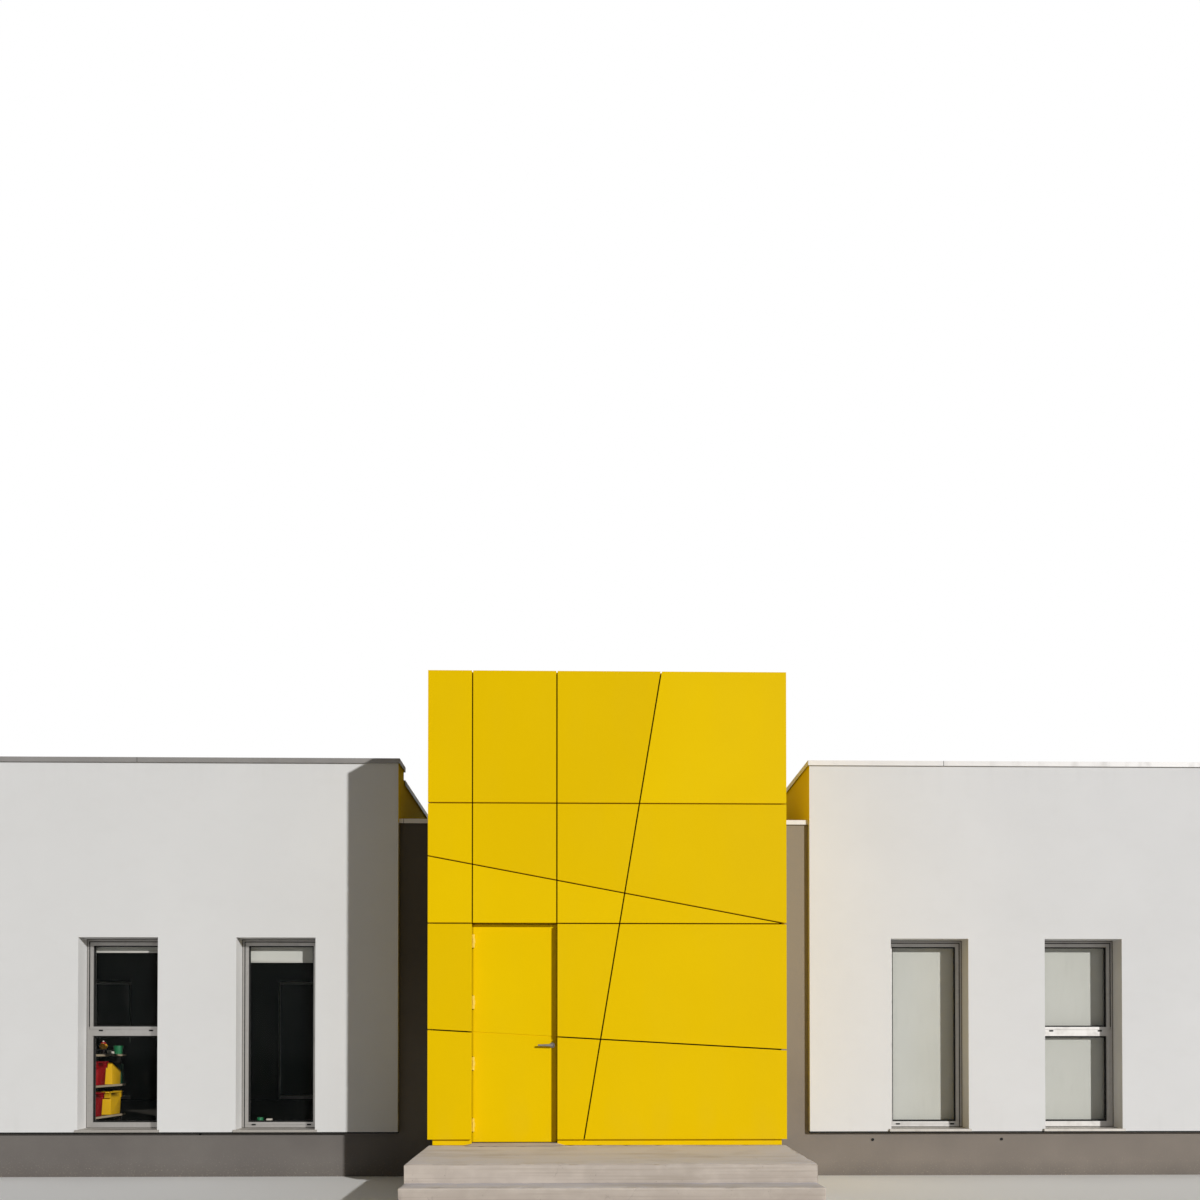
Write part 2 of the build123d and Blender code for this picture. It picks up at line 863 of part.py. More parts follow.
def slanted_bin(start, bottom):
    """A bin that leans outwards to its mouth, which falls away from the window."""
    near = shelf_near_end() + start
    side = Polygon(
        (near + bin_taper, bottom),
        (near, bottom + slanted_bin_height),
        (near + slanted_bin_width, bottom + slanted_bin_low_side),
        (near + slanted_bin_width - bin_taper, bottom),
        align=None,
    )
    return extrude(Plane.YZ.offset(bin_back()) * side, bin_length, dir=(1, 0, 0))


def box_grip(side, top, turn):
    """The section of a box's rim at one end, with the grip that hangs from it."""
    return Polygon(
        (side, top),
        (side + turn * grip_reach, top),
        (side + turn * grip_reach, top - box_rim),
        (side + turn * grip_root, top - box_rim),
        (side + turn * (grip_root - bin_taper), top - grip_height),
        (side - turn * bin_taper, top - grip_height),
        align=None,
    )


def gripped_box(start, width, bottom):
    """A box that widens upwards, with a rim round its mouth and a grip at both ends."""
    near = shelf_near_end() + start
    far = near + width
    left = bin_back()
    right = left + bin_length
    top = bottom + box_height
    middle = Location(((left + right) / 2, (near + far) / 2, (bottom + top) / 2), (-90, 0, 0))
    box = middle * Wedge(
        bin_length, box_height, width, bin_taper, bin_taper, bin_length - bin_taper, width - bin_taper
    )
    box += block(left - box_side_lip, right + box_side_lip, near, far, top - box_rim, top)
    for side, turn in ((near, -1), (far, 1)):
        box += extrude(Plane.YZ.offset(left) * box_grip(side, top, turn), bin_length, dir=(1, 0, 0))
    return box


def yellow_bins():
    """The slanted bin on the middle board and the box below it."""
    slanted = slanted_bin(upper_yellow_start, shelf_board_top(1))
    return [slanted, gripped_box(lower_yellow_start, yellow_box_width, shelf_board_top(0))]


def red_bins():
    """One box on each of the lower boards, next to the window."""
    starts = (lower_red_start, upper_red_start)
    return [gripped_box(start, red_box_width, shelf_board_top(level)) for level, start in enumerate(starts)]


def window_pieces():
    """All frames, panes, sills and blinds, left and right of the building's middle."""
    pieces = {name: [] for name in window_nodes}
    for wall, place in wall_places.items():
        for index, start in enumerate(window_starts(wall)):
            hall_right = wall == "hall_back_wall" and index == 0
            side = "right" if wall.startswith("right") or hall_right else "left"
            frame, panes = window_frame(start, has_transom(wall, index))
            pieces[side + "_window_frames"].append(place * frame)
            for pane in window_panes(start, panes):
                pieces[side + "_window_glass"].append(place * pane)
            pieces["window_sills"].append(place * window_sill(start, wall_face(wall)))
            blind = window_blind(start, blind_drop(wall, index))
            pieces[side + "_blinds"].append(place * blind)
    return pieces


def mirror_of(shapes):
    """The mirror images of a list of shapes."""
    return [mirror(shape, about=Plane.YZ) for shape in shapes]


def building():
    """Every node of the building with its solids."""
    nodes = {}
    for wall in wall_places:
        if wall != "hall_back_wall":
            nodes[wall] = [outer_wall(wall)]
    nodes["plinths"] = mirrored(plinth())
    nodes["floor"] = [floor()]
    left_inner_top = wing_wall_top - lowered_parapet_step
    nodes["inner_walls"] = [inner_wall(wing_wall_top)] + mirror_of([inner_wall(left_inner_top)])
    nodes["wing_roofs"] = mirrored(wing_roof())
    nodes["wing_copings"] = wing_coping(False) + mirror_of(wing_coping(True))
    nodes["link_walls"] = mirrored(link_wall())
    nodes["hall_back_wall"] = [hall_back_wall()]
    nodes["hall_roof"] = [hall_roof()]
    nodes["entrance_copings"] = entrance_copings()
    nodes["portal_piers"] = portal_piers()
    nodes["portal_lintel"] = [portal_lintel()]
    nodes["portal_side_walls"] = mirrored(portal_side_wall())
    nodes["portal_back_wall"] = [portal_back_wall()]
    nodes["portal_roof"] = [portal_roof()]
    nodes["front_cladding"] = front_cladding()
    nodes["side_cladding"] = side_cladding() + mirror_of(side_cladding())
    nodes["back_cladding"] = back_cladding()
    nodes["base_strip"] = base_strip()
    nodes["door_threshold"] = [door_threshold()]
    nodes["door_frame"] = [door_frame()]
    nodes["door_leaf"] = [door_leaf()]
    nodes["door_hinge_pins"] = [hinge_pin_side(bottom) for bottom in hinge_bottoms()]
    nodes["door_hinge_plates"] = [hinge_leaf_side(bottom) for bottom in hinge_bottoms()]
    nodes["door_roses"] = door_roses()
    nodes["door_lever"] = [door_lever()]
    nodes["landing"] = [landing()]
    nodes["middle_step"] = [step(1)]
    nodes["lower_step"] = [step(2)]
    nodes["toy_shelf"] = [toy_shelf()]
    nodes["yellow_bins"] = yellow_bins()
    nodes["red_bins"] = red_bins()
    nodes.update(window_pieces())
    return nodes


def write(name, shapes):
    """Write one node's solids to its own file."""
    solids = [solid for shape in shapes for solid in shape.solids()]
    shape = solids[0] if len(solids) == 1 else Compound(children=solids)
    export_step(shape, os.path.join("parts", name + ".step"))


os.makedirs("parts", exist_ok=True)
for node_name, node_shapes in building().items():
    write(node_name, node_shapes)
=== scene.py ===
import json
import math
import random

import bmesh
import bpy
from mathutils import Matrix, Vector, noise


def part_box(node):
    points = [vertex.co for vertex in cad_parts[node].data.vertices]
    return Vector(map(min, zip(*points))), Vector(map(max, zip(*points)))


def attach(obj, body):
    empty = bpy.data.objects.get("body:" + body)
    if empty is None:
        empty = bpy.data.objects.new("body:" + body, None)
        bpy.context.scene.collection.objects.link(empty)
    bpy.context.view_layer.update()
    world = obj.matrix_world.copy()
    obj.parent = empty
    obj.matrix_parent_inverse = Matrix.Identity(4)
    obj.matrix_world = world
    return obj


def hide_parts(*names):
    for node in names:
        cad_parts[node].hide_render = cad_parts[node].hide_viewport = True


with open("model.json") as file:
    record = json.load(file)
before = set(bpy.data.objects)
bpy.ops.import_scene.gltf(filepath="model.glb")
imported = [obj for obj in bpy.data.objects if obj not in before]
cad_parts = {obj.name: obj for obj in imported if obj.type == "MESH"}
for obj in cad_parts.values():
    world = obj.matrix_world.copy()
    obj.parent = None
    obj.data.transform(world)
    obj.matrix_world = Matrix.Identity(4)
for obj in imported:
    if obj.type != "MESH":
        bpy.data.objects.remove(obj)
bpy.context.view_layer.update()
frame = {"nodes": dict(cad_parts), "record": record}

# School building: finishes, worn concrete, window and door fittings, blinds, toys and roof edges.
# Metres. X runs along the front, the front faces -Y, Z is up, the ground is at Z = 0.

scene = bpy.context.scene
nodes = frame["nodes"]
chance = random.Random(11)

# Places that the finishes follow
wing_inner_face = 2.3
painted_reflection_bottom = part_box("entrance_copings")[0].z
room_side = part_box("floor")[1].x
room_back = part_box("floor")[1].y
room_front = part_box("wing_roofs")[0].y
roof_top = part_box("wing_roofs")[1].z
core_low, core_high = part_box("portal_piers")
plinth_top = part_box("left_front_wall")[0].z
leaf_low, leaf_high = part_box("door_leaf")
lever_low, lever_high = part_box("door_lever")

# Camera, fitted to the building's corners in the photograph
eye_place = (-0.2484, -13.8184, 1.4206)
eye_pitch = math.radians(0.629)
eye_yaw = math.radians(0.983)
eye_lens = 30.98
eye_shift = 0.3648


def make_camera():
    """The photograph's viewpoint: level with a person's chest, its picture shifted up."""
    data = bpy.data.cameras.new("entrance_view")
    data.lens = eye_lens
    data.shift_y = eye_shift
    camera = bpy.data.objects.new("entrance_view", data)
    camera.location = eye_place
    camera.rotation_euler = (math.pi / 2 + eye_pitch, 0, -eye_yaw)
    scene.collection.objects.link(camera)
    scene.camera = camera


make_camera()


# Finishes: colours are given as they look on a screen, from 0 to 255

shine = "Specular IOR Level"


def paint(red, green, blue):
    """An on-screen colour, made linear."""
    linear = []
    for part in (red, green, blue):
        value = part / 255
        linear.append(value / 12.92 if value <= 0.04045 else ((value + 0.055) / 1.055) ** 2.4)
    return (*linear, 1.0)


def reckoning(operation):
    """A method that adds the Math node of an operation."""
    def method(*values):
        return values[0].finish.node("ShaderNodeMath", {"operation": operation}, dict(enumerate(values)))
    return method


class Reading:
    """A shader socket that Python arithmetic works on: an expression adds its Math nodes."""

    def __init__(self, finish, socket):
        self.finish = finish
        self.socket = socket

    __add__ = __radd__ = reckoning("ADD")
    __sub__ = reckoning("SUBTRACT")
    __mul__ = reckoning("MULTIPLY")
    __truediv__ = reckoning("DIVIDE")
    __gt__ = reckoning("GREATER_THAN")
    __lt__ = reckoning("LESS_THAN")
    larger = reckoning("MAXIMUM")
    size = reckoning("ABSOLUTE")
    steps = reckoning("FLOOR")
    part = reckoning("FRACT")
    sine = reckoning("SINE")

    def __rsub__(self, other):
        return self.finish.node("ShaderNodeMath", {"operation": "SUBTRACT"}, {0: other, 1: self})

    def ripple(self, pitch):
        return (self * (2 * math.pi / pitch)).sine()

    def between(self, low, high):
        """0 at low, 1 at high, and held there beyond them."""
        inputs = {"Value": self, "From Min": low, "From Max": high}
        return self.finish.node("ShaderNodeMapRange", {"clamp": True}, inputs)


class Finish:
    """One material, or the surround, built node by node on its own shader."""

    def __init__(self, name, constants, home=None, shader="Principled BSDF"):
        self.material = home or bpy.data.materials.new(name)
        self.material.use_nodes = True
        self.tree = self.material.node_tree
        self.shader = self.tree.nodes[shader]
        self.point = self.node("ShaderNodeTexCoord", output="Object")
        self.colour = None
        self.set(constants)

    def feed(self, socket, value):
        """Link a reading to a socket, or give it a number, a vector or a colour."""
        if isinstance(value, Reading):
            self.tree.links.new(value.socket, socket)
        else:
            socket.default_value = paint(*value) if socket.type == "RGBA" else value

    def node(self, kind, settings=None, inputs=None, output=0):
        """Add a node: its settings first, then the numbers, colours or links of its sockets."""
        made = self.tree.nodes.new(kind)
        for name, value in (settings or {}).items():
            setattr(made, name, value)
        for name, value in (inputs or {}).items():
            self.feed(made.inputs[name], value)
        return Reading(self, made.outputs[output])

    def set(self, values):
        for name, value in values.items():
            self.feed(self.shader.inputs[name], value)

    def axes(self):
        """The place's X, Y and Z in metres."""
        return [self.node("ShaderNodeSeparateXYZ", inputs={"Vector": self.point}, output=i) for i in range(3)]

    def cloud(self, scale, detail=2.0, stretch=(1, 1, 1)):
        """Soft noise with about scale lumps a metre."""
        place = self.node("ShaderNodeMapping", inputs={"Vector": self.point, "Scale": stretch})
        return self.node("ShaderNodeTexNoise", inputs={"Vector": place, "Scale": scale, "Detail": detail})

    def pits(self, scale):
        """The distance to scattered points, about scale of them a metre."""
        return self.node("ShaderNodeTexVoronoi", inputs={"Vector": self.point, "Scale": scale})

    def mark(self, name):
        """A number that the piece's own mesh carries."""
        return self.node("ShaderNodeAttribute", {"attribute_name": name}, output="Fac")

    def blend(self, share, first, second):
        return self.node("ShaderNodeMix", {"data_type": "RGBA"}, {0: share, 6: first, 7: second}, output=2)

    def mottle(self, cloud, first, second):
        """Two colours in soft patches that follow a cloud."""
        return self.blend(cloud.between(0.3, 0.7), first, second)

    def coat(self, share, colour):
        """Lay a colour over the finish's own by a share from 0 to 1."""
        self.colour = self.blend(share, self.colour, colour)

    def relief(self, height, strength=1.0):
        """A bump from a height in metres."""
        inputs = {"Height": height, "Distance": 1.0, "Strength": strength}
        self.set({"Normal": self.node("ShaderNodeBump", inputs=inputs)})


yellow_colour = (227, 188, 0)
# Painted shade: the dark colour laid on the rooms' inner faces, for unlit rooms.
painted_room_shade = (58, 56, 52)
millimetre = 0.001


def indoors(finish):
    """1 on the wings' inner faces, below their roofs, where the rooms' painted shade goes."""
    x, y, z = finish.axes()
    inside = (x.size() < room_side + millimetre) * (y > room_front - millimetre)
    return inside * (y < room_back + millimetre) * (z < roof_top)


def white_render():
    """Smooth painted render with painted light: the right wing a touch lighter and the wings' inner sides over
    the link walls yellow, both for the yellow block's reflected light, and the rooms' inner faces dark as
    painted shade.
    """
    finish = Finish("white_render", {"Roughness": 0.86, shine: 0.25})
    x, _, z = finish.axes()
    broad = finish.cloud(0.9, 3.0)
    trowel = finish.cloud(5.0, 3.0, (1, 1, 1.6))
    grain = finish.cloud(520.0, 2.0)
    streaks = finish.cloud(7.0, 3.0, (1, 1, 0.06)).between(0.5, 0.75)
    near_base = z.between(plinth_top + 0.35, plinth_top)
    near_top = z.between(4.2, 4.6)
    # Painted reflected light: the right wing is a touch lighter than the left, for the yellow block's light
    # thrown onto it.
    left = finish.mottle(broad, (208, 207, 205), (211, 210, 208))
    right = finish.mottle(broad, (210, 209, 208), (214, 213, 212))
    finish.colour = finish.blend(x > 0.0, left, right)
    finish.coat(trowel.between(0.5, 0.8) * 0.12, (199, 197, 194))
    finish.coat(streaks * (near_base * 0.07 + near_top * 0.05), (150, 146, 138))
    # Painted shade: the rooms' inner faces are dark.
    finish.coat(indoors(finish), finish.mottle(broad, painted_room_shade, (64, 62, 57)))
    # Painted reflected light: the wings' white inner sides above the link walls are coloured yellow, for the
    # yellow block's light thrown onto them.
    side = (x.size() < wing_inner_face + millimetre) * (z > painted_reflection_bottom)
    finish.coat(side, finish.mottle(broad, (236, 212, 0), (240, 217, 6)))
    finish.set({"Base Color": finish.colour})
    finish.relief(grain * 0.0004 + trowel * 0.0006, 0.5)
    return finish.material


def grey_render():
    """Coarser grey render of the plinths and link walls, damp and dusty near the ground, with painted shade on
    the left side and inside the rooms.
    """
    finish = Finish("grey_render", {shine: 0.2})
    x, y, z = finish.axes()
    broad = finish.cloud(1.6, 4.0)
    grain = finish.cloud(260.0, 3.0)
    lumps = finish.cloud(30.0, 3.0)
    ragged = z + finish.cloud(4.0, 4.0) * 0.12
    damp = ragged.between(0.22, 0.06)
    splash = finish.cloud(60.0, 2.0).between(0.6, 0.72) * z.between(0.3, 0.0)
    # Painted shade: the left plinths are darker than the right ones.
    left = finish.mottle(broad, (103, 98, 94), (112, 107, 102))
    right = finish.mottle(broad, (121, 113, 105), (131, 122, 113))
    finish.colour = finish.blend(x.between(-1.8, 1.8), left, right)
    # Painted shade: the left link wall is darker than the right one and the back.
    link = finish.blend((x > 0.0).larger(y > 0.0), (78, 73, 66), (138, 128, 113))
    finish.coat(z.between(0.5, 2.5), link)
    finish.coat(damp * 0.45, (92, 86, 80))
    finish.coat(splash * 0.5, (170, 158, 142))
    # Painted shade: the rooms' inner faces are dark.
    finish.coat(indoors(finish), painted_room_shade)
    finish.set({"Base Color": finish.colour, "Roughness": 0.92 - damp * 0.15})
    finish.relief(grain * 0.0009 + lumps * 0.0012, 0.6)
    return finish.material


def yellow_panel(name, roughness, shade=0.0):
    """Satin yellow coating: each panel its own tone, faint dust along its lower edge, and painted shade laid
    over it by a share.
    """
    finish = Finish(name, {shine: 0.04})
    z = finish.axes()[2]
    broad = finish.cloud(0.8, 2.0)
    peel = finish.cloud(140.0, 2.0)
    flat = finish.cloud(1.1, 1.0)
    dust = finish.cloud(3.0, 5.0, (1, 1, 0.35)).between(0.45, 0.8)
    finish.colour = finish.mottle(broad, yellow_colour, (231, 193, 0))
    finish.coat(finish.mark("tone"), (217, 178, 0))
    finish.coat(dust * 0.06, (204, 172, 30))
    finish.coat(z.between(1.0, 0.5) * dust * 0.14, (190, 162, 70))
    # Painted shade: a dark olive laid over the whole coating by the shade share.
    finish.coat(shade, (96, 80, 0))
    finish.set({"Base Color": finish.colour, "Roughness": roughness + dust * 0.12 + peel * 0.04})
    finish.relief(peel * 0.00006 + flat * 0.004, 0.5)
    return finish.material


def coping_metal():
    """Coated sheet: grey on the left wing, white on the right, yellow on the entrance block."""
    finish = Finish("coping_metal", {shine: 0.4})
    x, y, z = finish.axes()
    broad = finish.cloud(2.0, 3.0)
    stains = finish.cloud(11.0, 4.0, (1, 1, 0.3)).between(0.5, 0.8)
    left = finish.mottle(broad, (128, 125, 122), (140, 137, 134))
    right = finish.mottle(broad, (215, 212, 209), (221, 218, 215))
    left = finish.blend((z < 4.1) * (x < 0.0), left, (203, 198, 190))
    finish.colour = finish.blend(x > 0.0, left, right)
    finish.coat(stains * 0.12, (116, 112, 106))
    joint = (((x + y) / 3.0).part() - 0.5).size() < 0.0012
    finish.coat(joint * (z > 3.9), (70, 68, 66))
    block = (x.size() < core_high.x + millimetre) * (z > 5.0)
    finish.coat(block, yellow_colour)
    finish.set({"Base Color": finish.colour, "Roughness": 0.42 + stains * 0.2})
    finish.relief(broad * 0.002 + finish.cloud(90.0) * 0.0001, 0.5)
    return finish.material


def entrance_shell():
    """The entrance block's masonry: dark membrane behind the panels, tinted olive as painted reflected light
    from the panels, and plaster inside.
    """
    finish = Finish("entrance_shell", {"Roughness": 0.8, shine: 0.25})
    x, y, z = finish.axes()
    edge = 0.004
    inner_x = core_high.x - 0.2
    inner_front = core_low.y + 0.2
    inner_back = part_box("portal_back_wall")[0].y
    inside = (x.size() < inner_x + edge) * (y > inner_front - edge) * (y < inner_back + edge)
    broad = finish.cloud(1.2, 3.0)
    creases = finish.cloud(5.0, 4.0, (1, 1, 0.3))
    plaster = finish.mottle(broad, (214, 211, 203), (222, 219, 212))
    plaster = finish.blend(z > 4.8, plaster, (92, 91, 88))
    # Painted reflected light: the dark membrane seen in the joints is tinted olive for the yellow panels' light.
    membrane_and_reflection = finish.mottle(creases, (44, 36, 10), (56, 46, 14))
    finish.set({"Base Color": finish.blend(inside, membrane_and_reflection, plaster)})
    finish.relief(finish.cloud(300.0) * 0.0003 + creases * 0.002, 0.5)
    return finish.material


def concrete():
    """Cast concrete: cloudy, with faint board lines, air holes, hairlines and pale worn edges, and painted light
    on the faces that look up.
    """
    finish = Finish("cast_concrete", {shine: 0.25})
    z = finish.axes()[2]
    broad = finish.cloud(1.7, 5.0)
    cloudy = finish.cloud(7.0, 5.0, (1, 1, 1.5))
    boards = finish.cloud(3.0, 4.0, (0.25, 1.0, 24.0))
    grit = finish.cloud(190.0, 3.0)
    holes = finish.pits(34.0).between(0.13, 0.06)
    rare = finish.cloud(9.0, 2.0).between(0.56, 0.66)
    hairline = (finish.cloud(2.6, 6.0, (1, 1, 0.7)) - 0.5).size().between(0.006, 0.0)
    stains = finish.cloud(2.4, 4.0, (1, 1.4, 2.0)).between(0.55, 0.75)
    finish.colour = finish.mottle(broad, (178, 167, 156), (190, 179, 168))
    # Painted light: the faces that look up are made lighter.
    finish.coat(finish.mark("painted_top_light"), (204, 200, 204))
    finish.coat(cloudy.between(0.45, 0.8) * 0.5, (208, 198, 186))
    finish.coat(boards.between(0.5, 0.66) * 0.5, (162, 150, 137))
    finish.coat(stains * 0.35, (158, 147, 133))
    finish.coat(z.between(0.1, 0.0) * cloudy * 0.8, (104, 97, 90))
    finish.coat(grit.between(0.62, 0.75) * 0.3, (134, 125, 115))
    finish.coat(finish.mark("worn") * (0.1 + cloudy * 0.4), (206, 197, 185))
    finish.coat(holes * rare * 0.8, (76, 71, 66))
    finish.coat(hairline * rare * 0.25, (96, 90, 84))
    finish.coat(z.between(0.3, 0.1) * 0.35, (146, 134, 123))
    finish.set({"Base Color": finish.colour, "Roughness": 0.82 + grit * 0.14})
    height = grit * 0.0009 + cloudy * 0.0014 + boards * 0.0012
    finish.relief(height - holes * rare * 0.002 - hairline * rare * 0.0006, 0.7)
    return finish.material


def roofing():
    """Mineral felt in metre-wide lengths with dark laps."""
    finish = Finish("roof_felt", {"Roughness": 0.95, shine: 0.2})
    x, _, z = finish.axes()
    tone = finish.node("ShaderNodeTexWhiteNoise", {"noise_dimensions": "1D"}, {"W": (x.steps() + 40.0) * 0.37})
    lap = (x.part() - 0.5).size() > 0.494
    flecks = finish.cloud(380.0, 2.0)
    broad = finish.cloud(1.1, 5.0)
    dried = (finish.cloud(0.55, 3.0) - 0.5).size().between(0.03, 0.0)
    finish.colour = finish.blend(flecks.between(0.4, 0.6), (84, 84, 81), (104, 103, 99))
    finish.coat(tone * 0.35, (92, 89, 84))
    finish.coat(broad.between(0.45, 0.75) * 0.4, (118, 114, 106))
    finish.coat(dried * 0.2, (132, 127, 117))
    finish.coat(lap, (48, 48, 47))
    hall = (z > 3.6) * (x.size() < wing_inner_face + millimetre)
    ceiling = (z < 4.0) * (1 - hall)
    finish.coat(ceiling, (120, 117, 110))
    finish.set({"Base Color": finish.colour})
    finish.relief(flecks * 0.0012 + lap * 0.003, 0.7)
    return finish.material


def floor_sheet():
    """Speckled sheet flooring inside, dark partly for its own colour and partly as painted shade of the unlit
    rooms; bare concrete below and at its edges.
    """
    finish = Finish("floor_sheet", {shine: 0.4})
    z = finish.axes()[2]
    flecks = finish.cloud(210.0, 2.0)
    broad = finish.cloud(1.0, 3.0)
    scuffs = finish.cloud(6.0, 5.0, (1, 0.3, 1)).between(0.6, 0.8)
    # Partly painted shade: the flooring is kept dark for the unlit rooms.
    finish.colour = finish.blend(flecks.between(0.42, 0.58), (66, 62, 56), (80, 76, 69))
    finish.coat(broad.between(0.4, 0.8) * 0.3, (72, 67, 58))
    finish.coat(z < 0.478, (112, 106, 98))
    finish.set({"Base Color": finish.colour, "Roughness": 0.5 + scuffs * 0.2})
    finish.relief(flecks * 0.0002, 0.4)
    return finish.material


def aluminium(name, colour, roughness):
    """Satin anodised aluminium with a faint drawn grain."""
    finish = Finish(name, {"Metallic": 0.9, shine: 0.3})
    grain = finish.cloud(60.0, 3.0, (1, 1, 0.04)) + finish.cloud(60.0, 3.0, (0.04, 0.04, 1))
    dust = finish.cloud(14.0, 4.0).between(0.5, 0.8)
    base = finish.blend(grain * 0.25, colour, [part * 0.9 for part in colour])
    base = finish.blend(dust * 0.18, base, (150, 143, 134))
    finish.set({"Base Color": base, "Roughness": roughness + grain * 0.08 + dust * 0.15})
    finish.relief(grain * 0.00008, 0.5)
    return finish.material


def pane_glass():
    """Clear glass over dark rooms: faint rain marks and dust towards its edges."""
    finish = Finish("pane_glass", {"Roughness": 0.03, "IOR": 1.5, shine: 0.5})
    marks = finish.cloud(26.0, 4.0, (1, 1, 0.12)).between(0.55, 0.8)
    film = finish.cloud(2.5, 3.0)
    colour = finish.blend(marks, (34, 40, 38), (96, 96, 90))
    finish.set({"Base Color": colour, "Alpha": 0.045 + marks * 0.03 + film * 0.02})
    finish.material.surface_render_method = "BLENDED"
    return finish.material


def blind_cloth():
    """Close plain weave, a few thicker threads, a faint sheen, and a dark room side that is painted shade,
    keeping the rooms unlit.
    """
    constants = {"Roughness": 0.9, shine: 0.15, "Sheen Weight": 0.15, "Sheen Roughness": 0.5}
    finish = Finish("blind_cloth", constants)
    x, y, z = finish.axes()
    along = (x + y).ripple(0.0024)
    upright = z.ripple(0.0024)
    slubs = finish.cloud(40.0, 3.0, (0.2, 0.2, 6.0)).between(0.55, 0.8)
    broad = finish.cloud(1.4, 3.0)
    finish.colour = finish.mottle(broad, (205, 205, 196), (212, 212, 204))
    finish.coat((along * upright).between(-1.0, 1.0) * 0.25, (188, 188, 177))
    finish.coat(slubs * 0.25, (219, 219, 212))
    # Painted shade: the cloth's room side is dark.
    finish.coat(finish.mark("room_side_shade"), (62, 60, 56))
    finish.set({"Base Color": finish.colour})
    finish.relief((along + upright) * 0.00008 + slubs * 0.0001, 0.7)
    return finish.material


def moulded(name, colour, roughness=0.42, wear=0.12):
    """Moulded plastic or lacquer: fine texture and scuffed patches."""
    finish = Finish(name, {shine: 0.4})
    scuffs = finish.cloud(22.0, 5.0).between(0.55, 0.8)
    pale_colour = [part + (255 - part) * 0.35 for part in colour]
    base = finish.blend(scuffs * wear, colour, pale_colour)
    finish.set({"Base Color": base, "Roughness": roughness + scuffs * 0.2})
    finish.relief(finish.cloud(700.0, 1.0) * 0.00008, 0.5)
    return finish.material


def shelf_board():
    """Laminated board with a faint grain along it: its pale front edge is a painted highlight and the rest is
    dark as painted shade.
    """
    finish = Finish("shelf_board", {"Roughness": 0.5, shine: 0.35})
    x = finish.axes()[0]
    grain = finish.cloud(30.0, 5.0, (1, 0.08, 1))
    bands = grain.between(0.35, 0.7)
    pale = finish.blend(bands, (178, 160, 132), (196, 180, 152))
    dark = finish.blend(bands, (34, 28, 23), (44, 36, 29))
    # Painted light: a pale front edge and a dark rest of the board.
    finish.set({"Base Color": finish.blend(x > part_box("toy_shelf")[1].x - millimetre, dark, pale)})
    finish.relief(grain * 0.0003, 0.5)
    return finish.material


def rubber():
    """Black sealing rubber, dusty in places."""
    finish = Finish("seal_rubber", {shine: 0.25})
    dust = finish.cloud(35.0, 4.0).between(0.45, 0.8)
    colour = finish.blend(dust * 0.4, (16, 16, 15), (60, 58, 54))
    finish.set({"Base Color": colour, "Roughness": 0.6 + dust * 0.3})
    finish.relief(finish.cloud(400.0) * 0.0001, 0.5)
    return finish.material


def satin_steel():
    """Brushed stainless steel."""
    finish = Finish("satin_steel", {"Metallic": 1.0})
    brushed = finish.cloud(45.0, 3.0, (0.15, 1, 1))
    spots = finish.cloud(90.0, 3.0).between(0.6, 0.75)
    base = finish.mottle(brushed, (122, 118, 110), (150, 146, 138))
    finish.set({"Base Color": finish.blend(spots * 0.3, base, (146, 138, 124))})
    finish.set({"Roughness": 0.26 + brushed * 0.14 + spots * 0.2})
    finish.relief(brushed * 0.00006, 0.5)
    return finish.material


panel = yellow_panel("yellow_panel", 0.42)
door_paint = yellow_panel("yellow_paint", 0.36)
cast = concrete()
felt = roofing()
anodised = aluminium("window_aluminium", (176, 173, 169), 0.46)
cloth = blind_cloth()
blind_metal = moulded("blind_fittings", (196, 194, 186), 0.4, 0.05)
seal = rubber()
steel = satin_steel()
# Partly painted shade: the grey sealant is dark enough to stand in for the shaded corner round each window
# frame.
mastic_and_shade = moulded("grey_mastic", (102, 99, 95), 0.7)
hinge_paint = moulded("hinge_paint", (226, 196, 74), 0.36, 0.25)
red = moulded("red_plastic", (160, 16, 24))
yellow = moulded("yellow_plastic", (236, 184, 22))
green = moulded("green_plastic", (24, 112, 66))
deep_green = moulded("dark_green_plastic", (8, 66, 42))
brown = moulded("brown_plastic", (52, 30, 22))
orange = moulded("orange_plastic", (240, 176, 44))
pale = moulded("pale_plastic", (214, 206, 190))

finishes = {
    "white_render": white_render(),
    "grey_render": grey_render(),
    "yellow_panel": panel,
    "yellow_paint": door_paint,
    "coping_metal": coping_metal(),
    "block_wall": entrance_shell(),
    "concrete": cast,
    "roofing": felt,
    "floor_finish": floor_sheet(),
    "window_aluminium": anodised,
    "window_glass": pane_glass(),
    "blind_cloth": cloth,
    "shelf_board": shelf_board(),
    "satin_steel": steel,
    "red_plastic": red,
    "yellow_plastic": yellow,
}


def finish_nodes():
    """Give every CAD node the finish of its slot."""
    for part in frame["record"]["subparts"]:
        data = nodes[part["node"]].data
        data.materials.clear()
        data.materials.append(finishes[part["material_slot"]])
    nodes["window_sills"].data.materials[0] = aluminium("sill_aluminium", (172, 167, 160), 0.5)
    # The door frame's yellow carries painted shade, for the shaded reveals round the leaf.
    nodes["door_frame"].data.materials[0] = yellow_panel("frame_paint_and_shade", 0.4, 0.75)


finish_nodes()


# Meshes


